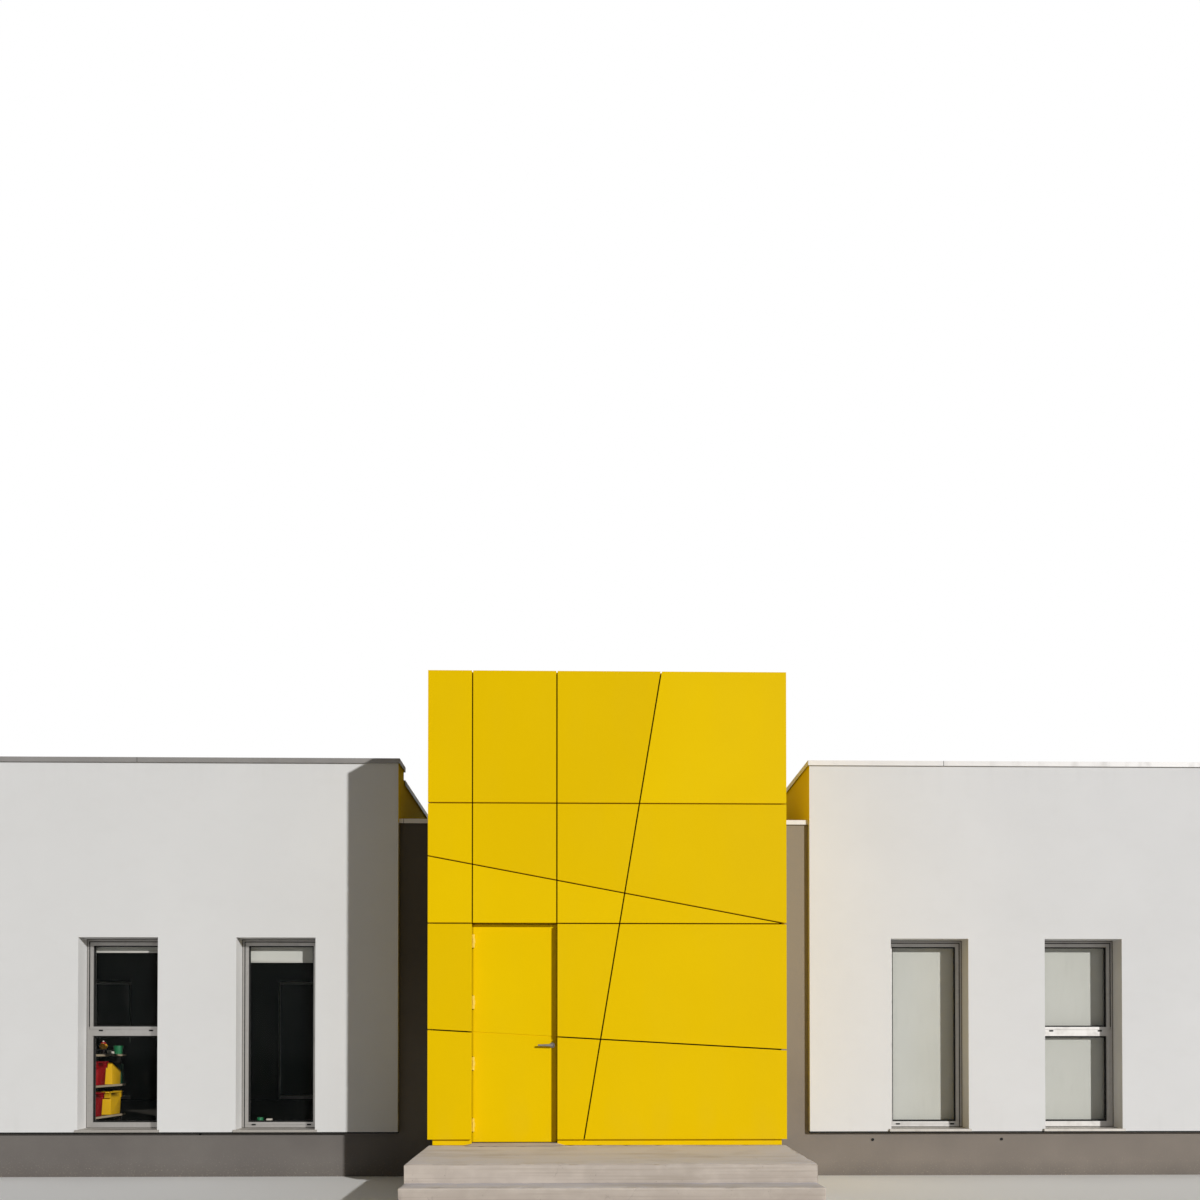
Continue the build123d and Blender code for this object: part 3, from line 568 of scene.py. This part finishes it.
def piece_from(name, mesh, finish, body="building", smooth=0.0):
    """Turn a bmesh into a piece that rides on a body and takes its finish from a slot."""
    data = bpy.data.meshes.new(name)
    mesh.to_mesh(data)
    mesh.free()
    if smooth:
        data.shade_smooth()
        data.set_sharp_from_angle(angle=math.radians(smooth))
    data.materials.append(finish)
    piece = bpy.data.objects.new(name, data)
    scene.collection.objects.link(piece)
    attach(piece, body)
    return piece


def solid_piece(name, mesh, finish, body="building", smooth=0.0):
    """Merge doubles, turn every face outwards, and make the piece."""
    bmesh.ops.remove_doubles(mesh, verts=mesh.verts, dist=0.00001)
    bmesh.ops.recalc_face_normals(mesh, faces=mesh.faces)
    return piece_from(name, mesh, finish, body, smooth)


def merged_copy(node):
    """A CAD node's mesh with its triangles joined into whole faces."""
    mesh = bmesh.new()
    mesh.from_mesh(nodes[node].data)
    bmesh.ops.remove_doubles(mesh, verts=mesh.verts, dist=0.00002)
    bmesh.ops.dissolve_limit(mesh, angle_limit=math.radians(0.5), verts=mesh.verts, edges=mesh.edges)
    return mesh


def loose_parts(mesh):
    """The connected parts of a mesh, as lists of their vertices."""
    parts = []
    seen = set()
    for start in mesh.verts:
        if start in seen:
            continue
        seen.add(start)
        part = [start]
        for vert in part:
            for edge in vert.link_edges:
                other = edge.other_vert(vert)
                if other not in seen:
                    seen.add(other)
                    part.append(other)
        parts.append(part)
    return parts


def corners_of(verts):
    """The lowest and highest corners round some vertices."""
    low = Vector([min(vert.co[i] for vert in verts) for i in range(3)])
    high = Vector([max(vert.co[i] for vert in verts) for i in range(3)])
    return low, high


def solid_boxes(node):
    """The corners of each solid in a CAD node."""
    mesh = merged_copy(node)
    boxes = [corners_of(part) for part in loose_parts(mesh)]
    mesh.free()
    return boxes


def unit(axis):
    """The direction of X, Y or Z, numbered from 0."""
    return Vector([float(i == axis) for i in range(3)])


def edges_of(verts):
    return {edge for vert in verts for edge in vert.link_edges}


def faces_of(verts):
    return {face for vert in verts for face in vert.link_faces}


def end_face(verts, axis, choose):
    """Of the faces on some vertices, the one whose middle lies furthest along an axis, or least far."""
    return choose(faces_of(verts), key=lambda face: face.calc_center_median()[axis])


def extruded(mesh, faces):
    """Extrude faces, and return the new vertices."""
    grown = bmesh.ops.extrude_face_region(mesh, geom=faces)["geom"]
    return [item for item in grown if isinstance(item, bmesh.types.BMVert)]


def add_box(mesh, low, high, place=Matrix.Identity(4)):
    """Add a box between two corners, and return its vertices."""
    low, high = Vector(low), Vector(high)
    verts = bmesh.ops.create_cube(mesh, size=1.0)["verts"]
    shape = Matrix.Translation((low + high) / 2) @ Matrix.Diagonal((*(high - low), 1.0))
    bmesh.ops.transform(mesh, matrix=place @ shape, verts=verts)
    return verts


def add_rod(mesh, start, end, radius, end_radius=None, segments=20):
    """Add a round rod between two points, tapered where the second radius differs."""
    start, end = Vector(start), Vector(end)
    along = end - start
    second = radius if end_radius is None else end_radius
    verts = bmesh.ops.create_cone(
        mesh, cap_ends=True, segments=segments, radius1=radius, radius2=second, depth=along.length
    )["verts"]
    turn = along.to_track_quat("Z", "Y").to_matrix().to_4x4()
    bmesh.ops.transform(mesh, matrix=Matrix.Translation((start + end) / 2) @ turn, verts=verts)
    return verts


def square_ring(mesh, shape, width, rise):
    """Shape a unit square, cut its middle out and raise the rest: the new and the inner vertices."""
    verts = bmesh.ops.create_grid(mesh, x_segments=1, y_segments=1, size=0.5)["verts"]
    bmesh.ops.transform(mesh, matrix=shape, verts=verts)
    face = verts[0].link_faces[0]
    made = bmesh.ops.inset_region(mesh, faces=[face], thickness=width, use_even_offset=True, use_boundary=True)
    inner = list(face.verts)
    bmesh.ops.delete(mesh, geom=[face], context="FACES")
    raised = extruded(mesh, made["faces"])
    bmesh.ops.translate(mesh, vec=rise, verts=raised)
    return raised, inner


def add_ring(mesh, place, left, right, bottom, top, width, front, back):
    """Add an upright rectangular ring, such as a window's bead."""
    middle = Matrix.Translation(((left + right) / 2, front, (bottom + top) / 2))
    shape = middle @ Matrix.Rotation(math.pi / 2, 4, "X") @ Matrix.Diagonal((right - left, top - bottom, 1, 1))
    square_ring(mesh, place @ shape, width, place.to_3x3() @ Vector((0, back - front, 0)))


def add_flat_ring(mesh, low, high, width, height, sloped=False):
    """Add a ring round a roof's top. Where it is sloped, its inner top edge drops to its foot."""
    middle = Matrix.Translation(((low.x + high.x) / 2, (low.y + high.y) / 2, high.z))
    shape = middle @ Matrix.Diagonal((high.x - low.x, high.y - low.y, 1, 1))
    raised, inner = square_ring(mesh, shape, width, (0, 0, height))
    if sloped:
        spots = [vert.co.xy for vert in inner]
        inner_edge = [vert for vert in raised if any((vert.co.xy - spot).length < millimetre for spot in spots)]
        bmesh.ops.translate(mesh, vec=(0, 0, 0.002 - height), verts=inner_edge)


def sink(mesh, face, rim, depth):
    """Push the middle of a face in, leaving a rim."""
    bmesh.ops.inset_region(mesh, faces=[face], thickness=rim)
    moved = extruded(mesh, [face])
    if face.is_valid:
        bmesh.ops.delete(mesh, geom=[face], context="FACES")
    bmesh.ops.translate(mesh, vec=depth, verts=moved)


def bevel_edges(mesh, edges, width, segments=2):
    bmesh.ops.bevel(
        mesh, geom=list(edges), offset=width, segments=segments, profile=0.5, affect="EDGES",
        clamp_overlap=True, material=-1,
    )


def softened_box(mesh, low, high, radius, place=Matrix.Identity(4)):
    """Add a box with rounded edges."""
    bevel_edges(mesh, edges_of(add_box(mesh, low, high, place)), radius, 3)


def sharp_edges(mesh, shortest=0.02):
    """Outer corners, without the short edges round holes."""
    least = math.radians(40)
    found = []
    for edge in mesh.edges:
        if len(edge.link_faces) == 2 and edge.calc_face_angle_signed() > least and edge.calc_length() > shortest:
            found.append(edge)
    return found


# Yellow panels

fold_radius = 0.0028
strongest_tone = 0.55


def toned_panels(node, name):
    """The CAD panels with folded edges, each with its own slight tone."""
    mesh = merged_copy(node)
    bevel_edges(mesh, sharp_edges(mesh), fold_radius)
    tone = mesh.faces.layers.float.new("tone")
    for part in loose_parts(mesh):
        shade = chance.uniform(0.0, strongest_tone)
        for face in faces_of(part):
            face[tone] = shade
    piece = piece_from(name, mesh, panel)
    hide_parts(node)


for node_name in ("front_cladding", "side_cladding", "back_cladding"):
    toned_panels(node_name, node_name.replace("cladding", "panels"))


# Concrete

arris = 0.012
cast_cell = (0.045, 0.12, 0.05)
mortar_cell = (0.02, 0.018, 0.5)


def sliced(mesh, spacing, axes):
    """Cut a mesh into cells so that its faces can wear unevenly."""
    low, high = corners_of(mesh.verts)
    for axis in axes:
        count = max(1, round((high[axis] - low[axis]) / spacing[axis]))
        for i in range(1, count):
            point = low.copy()
            point[axis] += (high[axis] - low[axis]) * i / count
            geometry = mesh.verts[:] + mesh.edges[:] + mesh.faces[:]
            bmesh.ops.bisect_plane(mesh, geom=geometry, plane_co=point, plane_no=unit(axis))


def worn_cast(node):
    """A cast block with rounded, chipped top edges and slightly wavy faces, its upward faces marked for painted
    light.
    """
    mesh = merged_copy(node)
    low, high = corners_of(mesh.verts)
    worn = mesh.faces.layers.float.new("worn")
    painted_top_light = mesh.faces.layers.float.new("painted_top_light")
    exposed = []
    for edge in sharp_edges(mesh, 0.1):
        middle = (edge.verts[0].co + edge.verts[1].co) / 2
        if middle.z > low.z + 0.02 and middle.y < high.y - 0.02:
            exposed.append(edge)
    flat_faces = set(mesh.faces)
    bevel_edges(mesh, exposed, arris, 3)
    for face in mesh.faces:
        if face.is_valid and face.calc_area() > 0:
            narrow = min(edge.calc_length() for edge in face.edges) < arris
            face[worn] = 1.0 if narrow and face not in flat_faces else 0.0
            # Upward faces are marked for painted light.
            face[painted_top_light] = 1.0 if face.normal.z > 0.9 else 0.0
    sliced(mesh, cast_cell, (0, 1, 2))
    mesh.normal_update()
    for vert in mesh.verts:
        chip = noise.noise(vert.co * 23.0)
        wave = noise.noise(vert.co * 3.1) * 0.5 + 0.5
        on_edge = any(face[worn] > 0.5 for face in vert.link_faces)
        bite = max(0.0, chip - 0.25) * 0.018 + 0.002 * (chip + 1.0) if on_edge else 0.0
        shift = -vert.normal * (bite + wave * 0.0022)
        if vert.co.z < low.z + millimetre:
            shift.z = 0.0
        if vert.co.y > high.y - millimetre:
            shift.y = 0.0
        vert.co += shift
    piece = piece_from("worn_" + node, mesh, cast, smooth=30)
    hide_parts(node)


for node_name in ("landing", "middle_step", "lower_step"):
    worn_cast(node_name)


def rough_ramp():
    """The hand-laid mortar at the door: lumpy, with ragged ends."""
    mesh = merged_copy("door_threshold")
    worn = mesh.faces.layers.float.new("worn")
    sliced(mesh, mortar_cell, (0, 1))
    mesh.normal_update()
    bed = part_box("floor")[1].z
    for vert in mesh.verts:
        if vert.co.y < core_low.y and vert.co.z > bed + 0.002:
            lump = noise.noise(vert.co * 19.0) * 0.5 + noise.noise(vert.co * 53.0) * 0.3
            vert.co.z -= 0.003 + 0.005 * max(-0.5, lump)
        elif vert.co.y < core_low.y - 0.002:
            vert.co.y += 0.012 * max(0.0, noise.noise(Vector((vert.co.x * 11.0, 0.0, 4.0))))
    for face in mesh.faces:
        face[worn] = 0.25 if face.normal.z < 0.9 else 0.0
    piece = piece_from("mortar_ramp", mesh, cast, smooth=40)
    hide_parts("door_threshold")


rough_ramp()


# Windows


def window_bays(frames, panes):
    """Each window's own frame: X along the wall, Y inwards from the aluminium's face, Z up."""
    glass_boxes = solid_boxes(panes)
    bays = []
    for low, high in solid_boxes(frames):
        middle = (low + high) / 2
        if high.y - low.y < high.x - low.x:
            inward = unit(1) if middle.y < (room_front + room_back) / 2 else -unit(1)
        else:
            inward = unit(0) if middle.x < 0 else -unit(0)
        along = inward.cross(unit(2))
        half_width = abs((high - low).dot(along)) / 2
        half_depth = abs((high - low).dot(inward)) / 2
        origin = middle - along * half_width - inward * half_depth
        origin.z = low.z
        place = Matrix.Identity(4)
        for i, axis in enumerate((along, inward, unit(2), origin)):
            place.col[i][:3] = axis
        heights = []
        for glass_low, glass_high in glass_boxes:
            glass_middle = (glass_low + glass_high) / 2
            if all(low[i] < glass_middle[i] < high[i] for i in range(3)):
                heights.append((glass_low.z - low.z, glass_high.z - low.z))
        bays.append((place, 2 * half_width, high.z - low.z, sorted(heights)))
    return bays


# Sizes across a frame's face, and places inwards from it
face_width = 0.063
bead_width = 0.010
bead_tuck = 0.009
seal_width = 0.013
room_bead_width = 0.014
room_seal_width = 0.018
sash_face = 0.028
lip_width = 0.009
sealant_width = 0.008
bead_front = 0.006
glass_front = 0.022
glass_back = 0.046
seal_depth = 0.003
room_bead_back = 0.066
lip_stand = 0.0008
lip_back = 0.009

# Drain slots: their cap, their height on the rail, and their shares of the window's width
slot_half_length = 0.024
slot_half_height = 0.0085
slot_rise = 0.004
transom_slot_rise = 0.008
transom_slots = (0.185, 0.825)
rail_slots = (0.155, 0.865)


def add_slot(mesh, place, x, z):
    """A drainage slot's small cap: a low bar with rounded ends."""
    low = (x - slot_half_length, -0.004, z - slot_half_height)
    verts = add_box(mesh, low, (x + slot_half_length, 0.002, z + slot_half_height), place)
    inward = place.to_3x3() @ unit(1)
    ends = []
    for edge in edges_of(verts):
        if abs((edge.verts[0].co - edge.verts[1].co).normalized().dot(inward)) > 0.9:
            ends.append(edge)
    bevel_edges(mesh, ends, 0.008, 4)


def add_sash_lip(mesh, place, left, right, foot, top):
    """The black lip that covers the gap at an opening sash's sides and head."""
    for low, high in ((left - lip_width, left), (right, right + lip_width)):
        add_box(mesh, (low, -lip_stand, foot), (high, lip_back, top), place)
    add_box(mesh, (left - lip_width, -lip_stand, top), (right + lip_width, lip_back, top + lip_width), place)


def dress_windows(side):
    """Glazing beads, seals, drain caps and sealant of one side's windows; the grey sealant ring round each frame
    is also painted shade for its dark outer corner.
    """
    beads, seals, slots, sealant = (bmesh.new() for _ in range(4))
    bead_back = glass_front - seal_depth
    room_bead_front = glass_back + seal_depth
    for place, width, height, heights in window_bays(side + "_window_frames", side + "_window_glass"):
        left, right = face_width, width - face_width
        transom = len(heights) == 2
        for low, high in heights:
            topmost = high == heights[-1][1]
            foot = low - bead_tuck
            head = high if topmost else high + bead_tuck
            add_ring(beads, place, left, right, foot, head, bead_width, bead_front, bead_back)
            add_ring(seals, place, left, right, foot, head, bead_width + seal_width, bead_back, glass_front)
            add_ring(beads, place, left, right, low, high, room_bead_width, room_bead_front, room_bead_back)
            if topmost:
                lip_foot = low if transom else 0
                add_sash_lip(seals, place, left - sash_face, right + sash_face, lip_foot, high + sash_face)
            add_ring(seals, place, left, right, low, high, room_seal_width, glass_back, room_bead_front)
        # Partly painted shade: the sealant ring darkens each frame's outer edge.
        add_ring(sealant, place, 0, width, 0, height, sealant_width, -lip_stand, millimetre)
        rail = face_width / 2 + slot_rise
        if transom:
            rail = (heights[0][1] + heights[1][0]) / 2 + transom_slot_rise
        for share in transom_slots if transom else rail_slots:
            add_slot(slots, place, width * share, rail)
    for name, mesh, finish in (
        ("_glazing_beads", beads, anodised), ("_glazing_seals", seals, seal),
        ("_drain_slots", slots, seal), ("_frame_sealant", sealant, mastic_and_shade),
    ):
        solid_piece(side + name, mesh, finish)


# Blinds: clearances from the ends of the CAD blind, places and sizes
tube_clearance = 0.004
bracket_clearance = 0.003
bar_clearance = 0.006
chain_clearance = 0.012
cloth_clearance = 0.002
tube_radius = 0.019
tube_drop = 0.0275
tube_shift = 0.003
bar_rise = 0.002
bar_height = 0.024
chain_shift = 0.021
longest_chain = 1.1
cloth_rise = 0.022
cloth_thickness = 0.0008
cloth_swing = 0.0012
cloth_cell = 0.05


def hang_blinds(side):
    """Roller blinds: a tube on brackets, a hung cloth, a bottom bar and a chain in each window."""
    fittings = bmesh.new()
    cloths = []
    for low, high in solid_boxes(side + "_blinds"):
        thin = 1 if high.y - low.y < high.x - low.x else 0
        wide = 1 - thin
        middle = (low + high) / 2
        along, across, up = unit(wide), unit(thin), unit(2)
        half = (high[wide] - low[wide]) / 2
        room_sign = -1 if middle[thin] > (room_back + room_front) / 2 * thin else 1
        axle = Vector((middle.x, middle.y, high.z - tube_drop)) + across * room_sign * tube_shift
        tube_half = along * (half - tube_clearance)
        add_rod(fittings, axle - tube_half, axle + tube_half, tube_radius, segments=24)
        for end in (-1, 1):
            plate = axle + along * end * (half - bracket_clearance)
            spread = across * 0.024 + up * 0.026 + along * 0.0015
            add_box(fittings, plate - spread, plate + spread)
        bar_half = half - bar_clearance
        hang = axle - across * room_sign * tube_radius
        bar_low = Vector((hang.x, hang.y, low.z + bar_rise))
        bar_spread = along * bar_half + across * 0.005
        bar = add_box(fittings, bar_low - bar_spread, bar_low + bar_spread + up * bar_height)
        bevel_edges(fittings, edges_of(bar), 0.002)
        chain_top = axle + along * (half - chain_clearance) + across * room_sign * chain_shift
        drop = min(longest_chain, high.z - low.z + 0.5)
        add_rod(fittings, chain_top, chain_top - up * drop, 0.0022, segments=6)
        foot = low.z + cloth_rise
        length = axle.z - foot
        width = 2 * (bar_half - cloth_clearance)
        mesh = bmesh.new()
        rows = max(4, round(length / cloth_cell))
        for vert in bmesh.ops.create_grid(mesh, x_segments=16, y_segments=rows, size=0.5)["verts"]:
            u, v = vert.co.x, vert.co.y
            swing = cloth_swing * math.sin(math.pi * (v + 0.5)) * math.sin(5.0 * u + 2.0 * middle.x)
            vert.co = hang + along * (u * width) + across * swing
            vert.co.z = foot + (v + 0.5) * length
        bmesh.ops.recalc_face_normals(mesh, faces=mesh.faces)
        bmesh.ops.solidify(mesh, geom=mesh.faces[:], thickness=cloth_thickness)
        mesh.normal_update()
        room_side_shade = mesh.faces.layers.float.new("room_side_shade")
        # The room side's faces are marked for painted shade.
        for face in mesh.faces:
            face[room_side_shade] = 1.0 if face.normal.dot(across) * room_sign > 0.5 else 0.0
        name = f"{side}_blind_cloth_{len(cloths) + 1:02d}"
        cloths.append((piece_from(name, mesh, cloth, smooth=60), width, length))
    fitted = solid_piece(side + "_blind_fittings", fittings, blind_metal, smooth=40)
    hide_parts(side + "_blinds")


for side_name in ("left", "right"):
    dress_windows(side_name)
    hang_blinds(side_name)


# Door: the leaf's gaps to its frame and its stop, and the frame's rubber seal and flange
side_gap = 0.008
end_gap = 0.007
stop_gap = 0.005
seal_inset = 0.006
seal_reach = 0.016
seal_height = 0.0035
flange_left = 0.0075
flange_right = 0.0015
flange_set_back = 0.003
flange_depth = 0.012
hinge_clearance = 0.006
leaf_tone = 0.1


def folded_leaf():
    """The leaf with folded steel edges."""
    mesh = merged_copy("door_leaf")
    bevel_edges(mesh, sharp_edges(mesh, 0.04), fold_radius)
    tone = mesh.faces.layers.float.new("tone")
    for face in mesh.faces:
        face[tone] = leaf_tone
    piece = piece_from("door_skin", mesh, door_paint, "door")
    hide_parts("door_leaf")


def door_seal():
    """The rubber seal on the frame's stop, clear of the closed leaf."""
    back = leaf_high.y + stop_gap
    front = back - seal_height
    left, right = leaf_low.x - side_gap, leaf_high.x + side_gap
    bottom, top = leaf_low.z - end_gap, leaf_high.z + end_gap
    mesh = bmesh.new()
    for low, high in ((left + seal_inset, left + seal_reach), (right - seal_reach, right - seal_inset)):
        add_box(mesh, (low, front, bottom), (high, back, top - seal_reach))
    add_box(mesh, (left + seal_inset, front, top - seal_reach), (right - seal_inset, back, top - seal_inset))
    solid_piece("door_seal", mesh, seal)


def hinge_side_flange():
    """The frame's yellow flange in the gap beside the leaf, between the hinges."""
    left, right = leaf_low.x - flange_left, leaf_low.x - flange_right
    front = leaf_low.y + flange_set_back
    hinges = sorted((low.z, high.z) for low, high in solid_boxes("door_hinge_pins"))
    bottoms = [leaf_low.z] + [high + hinge_clearance for low, high in hinges]
    tops = [low - hinge_clearance for low, high in hinges] + [leaf_high.z]
    mesh = bmesh.new()
    for bottom, top in zip(bottoms, tops):
        softened_box(mesh, (left, front, bottom), (right, front + flange_depth, top), 0.0015)
    solid_piece("hinge_side_flange", mesh, door_paint)


def smooth_node(node, name, body, finish=steel):
    """A CAD node's own shape with its round faces shaded smooth."""
    mesh = merged_copy(node)
    piece = piece_from(name, mesh, finish, body, smooth=30)
    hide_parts(node)


def hinge_screws():
    """Two slotted screws in each hinge's plate on the leaf."""
    mesh = bmesh.new()
    face = leaf_low.y - 0.003
    for low, high in solid_boxes("door_hinge_plates"):
        x = high.x - 0.006
        for z in (low.z + 0.010, high.z - 0.010):
            add_rod(mesh, (x, face - 0.0006, z), (x, face + 0.001, z), 0.0032, segments=16)
            add_box(mesh, (x - 0.0024, face - 0.0009, z - 0.0004), (x + 0.0024, face, z + 0.0004))
    solid_piece("hinge_screws", mesh, hinge_paint, "door", smooth=40)


def lever_screws():
    """The grub screw under each lever's neck, with its socket."""
    mesh = bmesh.new()
    axle_x = lever_high.x - 0.012
    under = (lever_low.z + lever_high.z) / 2 - 0.009
    for y in (leaf_low.y - 0.022, leaf_high.y + 0.022):
        verts = add_rod(mesh, (axle_x, y, under + 0.002), (axle_x, y, under - 0.0004), 0.0026, segments=16)
        sink(mesh, end_face(verts, 2, min), 0.0011, (0, 0, 0.0016))
    solid_piece("lever_screws", mesh, steel, "handle", smooth=40)


folded_leaf()
door_seal()
hinge_side_flange()
smooth_node("door_hinge_pins", "hinge_pins", "building", hinge_paint)
smooth_node("door_hinge_plates", "hinge_leaves", "door", hinge_paint)
smooth_node("door_roses", "lever_roses", "door")
smooth_node("door_lever", "lever_pair", "handle")
hinge_screws()
lever_screws()


# Shelf and toys

tub_wall = 0.004
slanted_bin_height = 0.262
grip_reach = 0.058
side_lip = 0.008
wall_lean = 0.012


def hollow_tubs(node, name, finish):
    """The CAD bins, hollowed from their mouths: the slanted one to its wall, a box inside its rim."""
    mesh = merged_copy(node)
    for part in loose_parts(mesh):
        low, high = corners_of(part)
        mouth = end_face(part, 2, max)
        slanted = mouth.normal.z < 0.99
        inset_x = tub_wall if slanted else side_lip + tub_wall + wall_lean
        inset_y = tub_wall + wall_lean if slanted else grip_reach + tub_wall + wall_lean
        for axis, inset in ((0, inset_x), (1, inset_y)):
            for edge_place, side in ((low[axis] + inset, -1), (high[axis] - inset, 1)):
                point = mouth.calc_center_median()
                point[axis] = edge_place
                geometry = [mouth, *mouth.edges, *mouth.verts]
                plane = {"plane_co": point, "plane_no": unit(axis) * side}
                cut = bmesh.ops.bisect_plane(mesh, geom=geometry, **plane)["geom"]
                halves = [item for item in cut if isinstance(item, bmesh.types.BMFace)]
                mouth = min(halves, key=lambda f: (f.calc_center_median()[axis] - point[axis]) * side)
        inner_floor = extruded(mesh, [mouth])
        if mouth.is_valid:
            bmesh.ops.delete(mesh, geom=[mouth], context="FACES")
        for vert in inner_floor:
            vert.co.z = low.z + tub_wall
    bevel_edges(mesh, sharp_edges(mesh, 0.05), 0.003)
    piece = solid_piece(name, mesh, finish, smooth=40)
    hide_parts(node)


def add_ball(mesh, centre, radius, squeeze=1.0):
    """Add a ball, flattened along Z by its squeeze."""
    shape = Matrix.Translation(centre) @ Matrix.Diagonal((1, 1, squeeze, 1))
    bmesh.ops.create_icosphere(mesh, subdivisions=4, radius=radius, matrix=shape)


def toy_figure(x, y, base):
    """A round toy on a brown foot: a split yellow body, a red cap and a pale knob."""
    body = bmesh.new()
    for side in (-0.026, 0.026):
        add_ball(body, (x, y + side, base + 0.092), 0.036)
    solid_piece("toy_body", body, orange, smooth=60)
    cap = bmesh.new()
    add_ball(cap, (x, y, base + 0.128), 0.030, 0.6)
    piece_from("toy_cap", cap, red, smooth=60)
    knob = bmesh.new()
    add_ball(knob, (x, y, base + 0.150), 0.011)
    piece_from("toy_knob", knob, pale, smooth=60)
    foot = bmesh.new()
    add_rod(foot, (x, y, base), (x, y, base + 0.062), 0.044, 0.024, 24)
    solid_piece("toy_foot", foot, brown, smooth=40)


def fill_shelf():
    """Tubs for the CAD bins, toys on the top board and on the floor by the next window."""
    hollow_tubs("red_bins", "red_tubs", red)
    hollow_tubs("yellow_bins", "yellow_tubs", yellow)
    low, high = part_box("toy_shelf")
    front = high.x - 0.05
    toy_figure(front, low.y + 0.355, high.z)
    pot = bmesh.new()
    foot = Vector((front - 0.015, low.y + 0.785, high.z))
    rim = foot + unit(2) * 0.090
    add_rod(pot, foot, rim, 0.048, 0.058, 28)
    add_rod(pot, rim, foot + unit(2) * 0.102, 0.062, 0.062, 28)
    front_frames = [box for box in solid_boxes("left_window_frames") if box[1].y < 0]
    nearest = max(front_frames, key=lambda box: box[0].x)
    corner = Vector((nearest[0].x + 0.13, room_front + 0.10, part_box("floor")[1].z))
    add_rod(pot, corner, corner + unit(2) * 0.155, 0.045, 0.035, 24)
    solid_piece("green_pots", pot, green, smooth=40)
    folder = bmesh.new()
    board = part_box("yellow_bins")[1].z - slanted_bin_height
    spine = high.x - 0.010
    softened_box(folder, (spine - 0.25, high.y - 0.09, board), (spine, high.y - 0.035, board + 0.235), 0.004)
    solid_piece("dark_folder", folder, deep_green, smooth=50)
    bricks = bmesh.new()
    for y, turn, size in ((low.y + 0.50, 0.3, 0.024), (low.y + 0.585, -0.5, 0.017)):
        place = Matrix.Translation((front, y, high.z)) @ Matrix.Rotation(turn, 4, "Z")
        softened_box(bricks, (-size, -size, 0), (size, size, size * 1.9), 0.004, place)
    softened_box(bricks, corner + Vector((0.07, -0.01, 0)), corner + Vector((0.13, 0.05, 0.14)), 0.006)
    solid_piece("pale_bricks", bricks, pale, smooth=50)


fill_shelf()


# Roofs and plinths

felt_thickness = 0.006
upstand_height = 0.16
fillet_size = 0.05
rail_inset = 0.006
rail_height = 0.016


def dress_roofs():
    """Felt turned up round the wings' roofs and the entrance block's, over a sloping fillet."""
    mesh = bmesh.new()
    for low, high in solid_boxes("wing_roofs") + solid_boxes("portal_roof"):
        add_flat_ring(mesh, low, high, felt_thickness, upstand_height)
        add_flat_ring(mesh, low, high, fillet_size, fillet_size, True)
    solid_piece("felt_upstands", mesh, felt)


def weep_tubes():
    """Short plastic tubes that drain the plinths, where the photograph shows dark holes."""
    mesh = bmesh.new()
    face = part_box("plinths")[0].y
    for x, z in ((3.02, 0.402), (4.48, 0.406), (-4.50, 0.478)):
        verts = add_rod(mesh, (x, face - 0.006, z), (x, face + 0.002, z), 0.016, segments=24)
        sink(mesh, end_face(verts, 1, min), 0.003, (0, 0.0055, 0))
    solid_piece("weep_tubes", mesh, seal, smooth=40)


def base_rails_and_shade_line():
    """The dark rail that closes the insulation's underside where the white walls end, also dark as painted shade
    for the shadow under the walls' overhang.
    """
    mesh = bmesh.new()
    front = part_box("left_front_wall")[0].y + rail_inset
    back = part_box("left_back_wall")[1].y - rail_inset
    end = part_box("right_end_wall")[1].x - rail_inset
    low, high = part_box("plinths")
    inner = wing_inner_face
    strips = ((inner, end, front, low.y), (inner, end, high.y, back), (high.x, end, low.y, high.y))
    for side in (-1, 1):
        for near, far, y0, y1 in strips:
            x0, x1 = sorted((side * near, side * far))
            # Partly painted shade: the dark rails stand in for the shadow under the white walls' overhang.
            softened_box(mesh, (x0, y0, plinth_top - rail_height), (x1, y1, plinth_top), millimetre)
    solid_piece("base_rails_and_shade_line", mesh, seal)


dress_roofs()
weep_tubes()
base_rails_and_shade_line()


# Floor, backdrop and light

fill_level = 0.1
key_level = 3.25
key_angle = math.radians(1)
key_direction = Vector((-1.153, 1.49, -0.66))


def studio():
    """A pale floor, a white surround and one sun from the front right, as the block's shadow shows it."""
    mesh = bmesh.new()
    bmesh.ops.create_grid(mesh, x_segments=1, y_segments=1, size=150.0)
    data = bpy.data.meshes.new("studio_floor")
    mesh.to_mesh(data)
    mesh.free()
    ground = Finish("studio_floor", {"Base Color": (226, 225, 223), "Roughness": 0.9})
    data.materials.append(ground.material)
    ground_piece = bpy.data.objects.new("studio_floor", data)
    scene.collection.objects.link(ground_piece)
    scene.world = bpy.data.worlds.new("studio")
    surround = Finish("studio", {"Color": (255, 255, 255)}, scene.world, "Background")
    rays = ("Is Camera Ray", "Is Glossy Ray", "Is Transmission Ray")
    first, second, third = [surround.node("ShaderNodeLightPath", output=ray) for ray in rays]
    seen = first.larger(second).larger(third)
    surround.set({"Strength": fill_level + seen * (1 - fill_level)})
    data = bpy.data.lights.new("key", "SUN")
    data.energy = key_level
    data.angle = key_angle
    key = bpy.data.objects.new("key", data)
    key.rotation_euler = key_direction.to_track_quat("-Z", "Y").to_euler()
    scene.collection.objects.link(key)
    scene.view_settings.view_transform = "Standard"


studio()
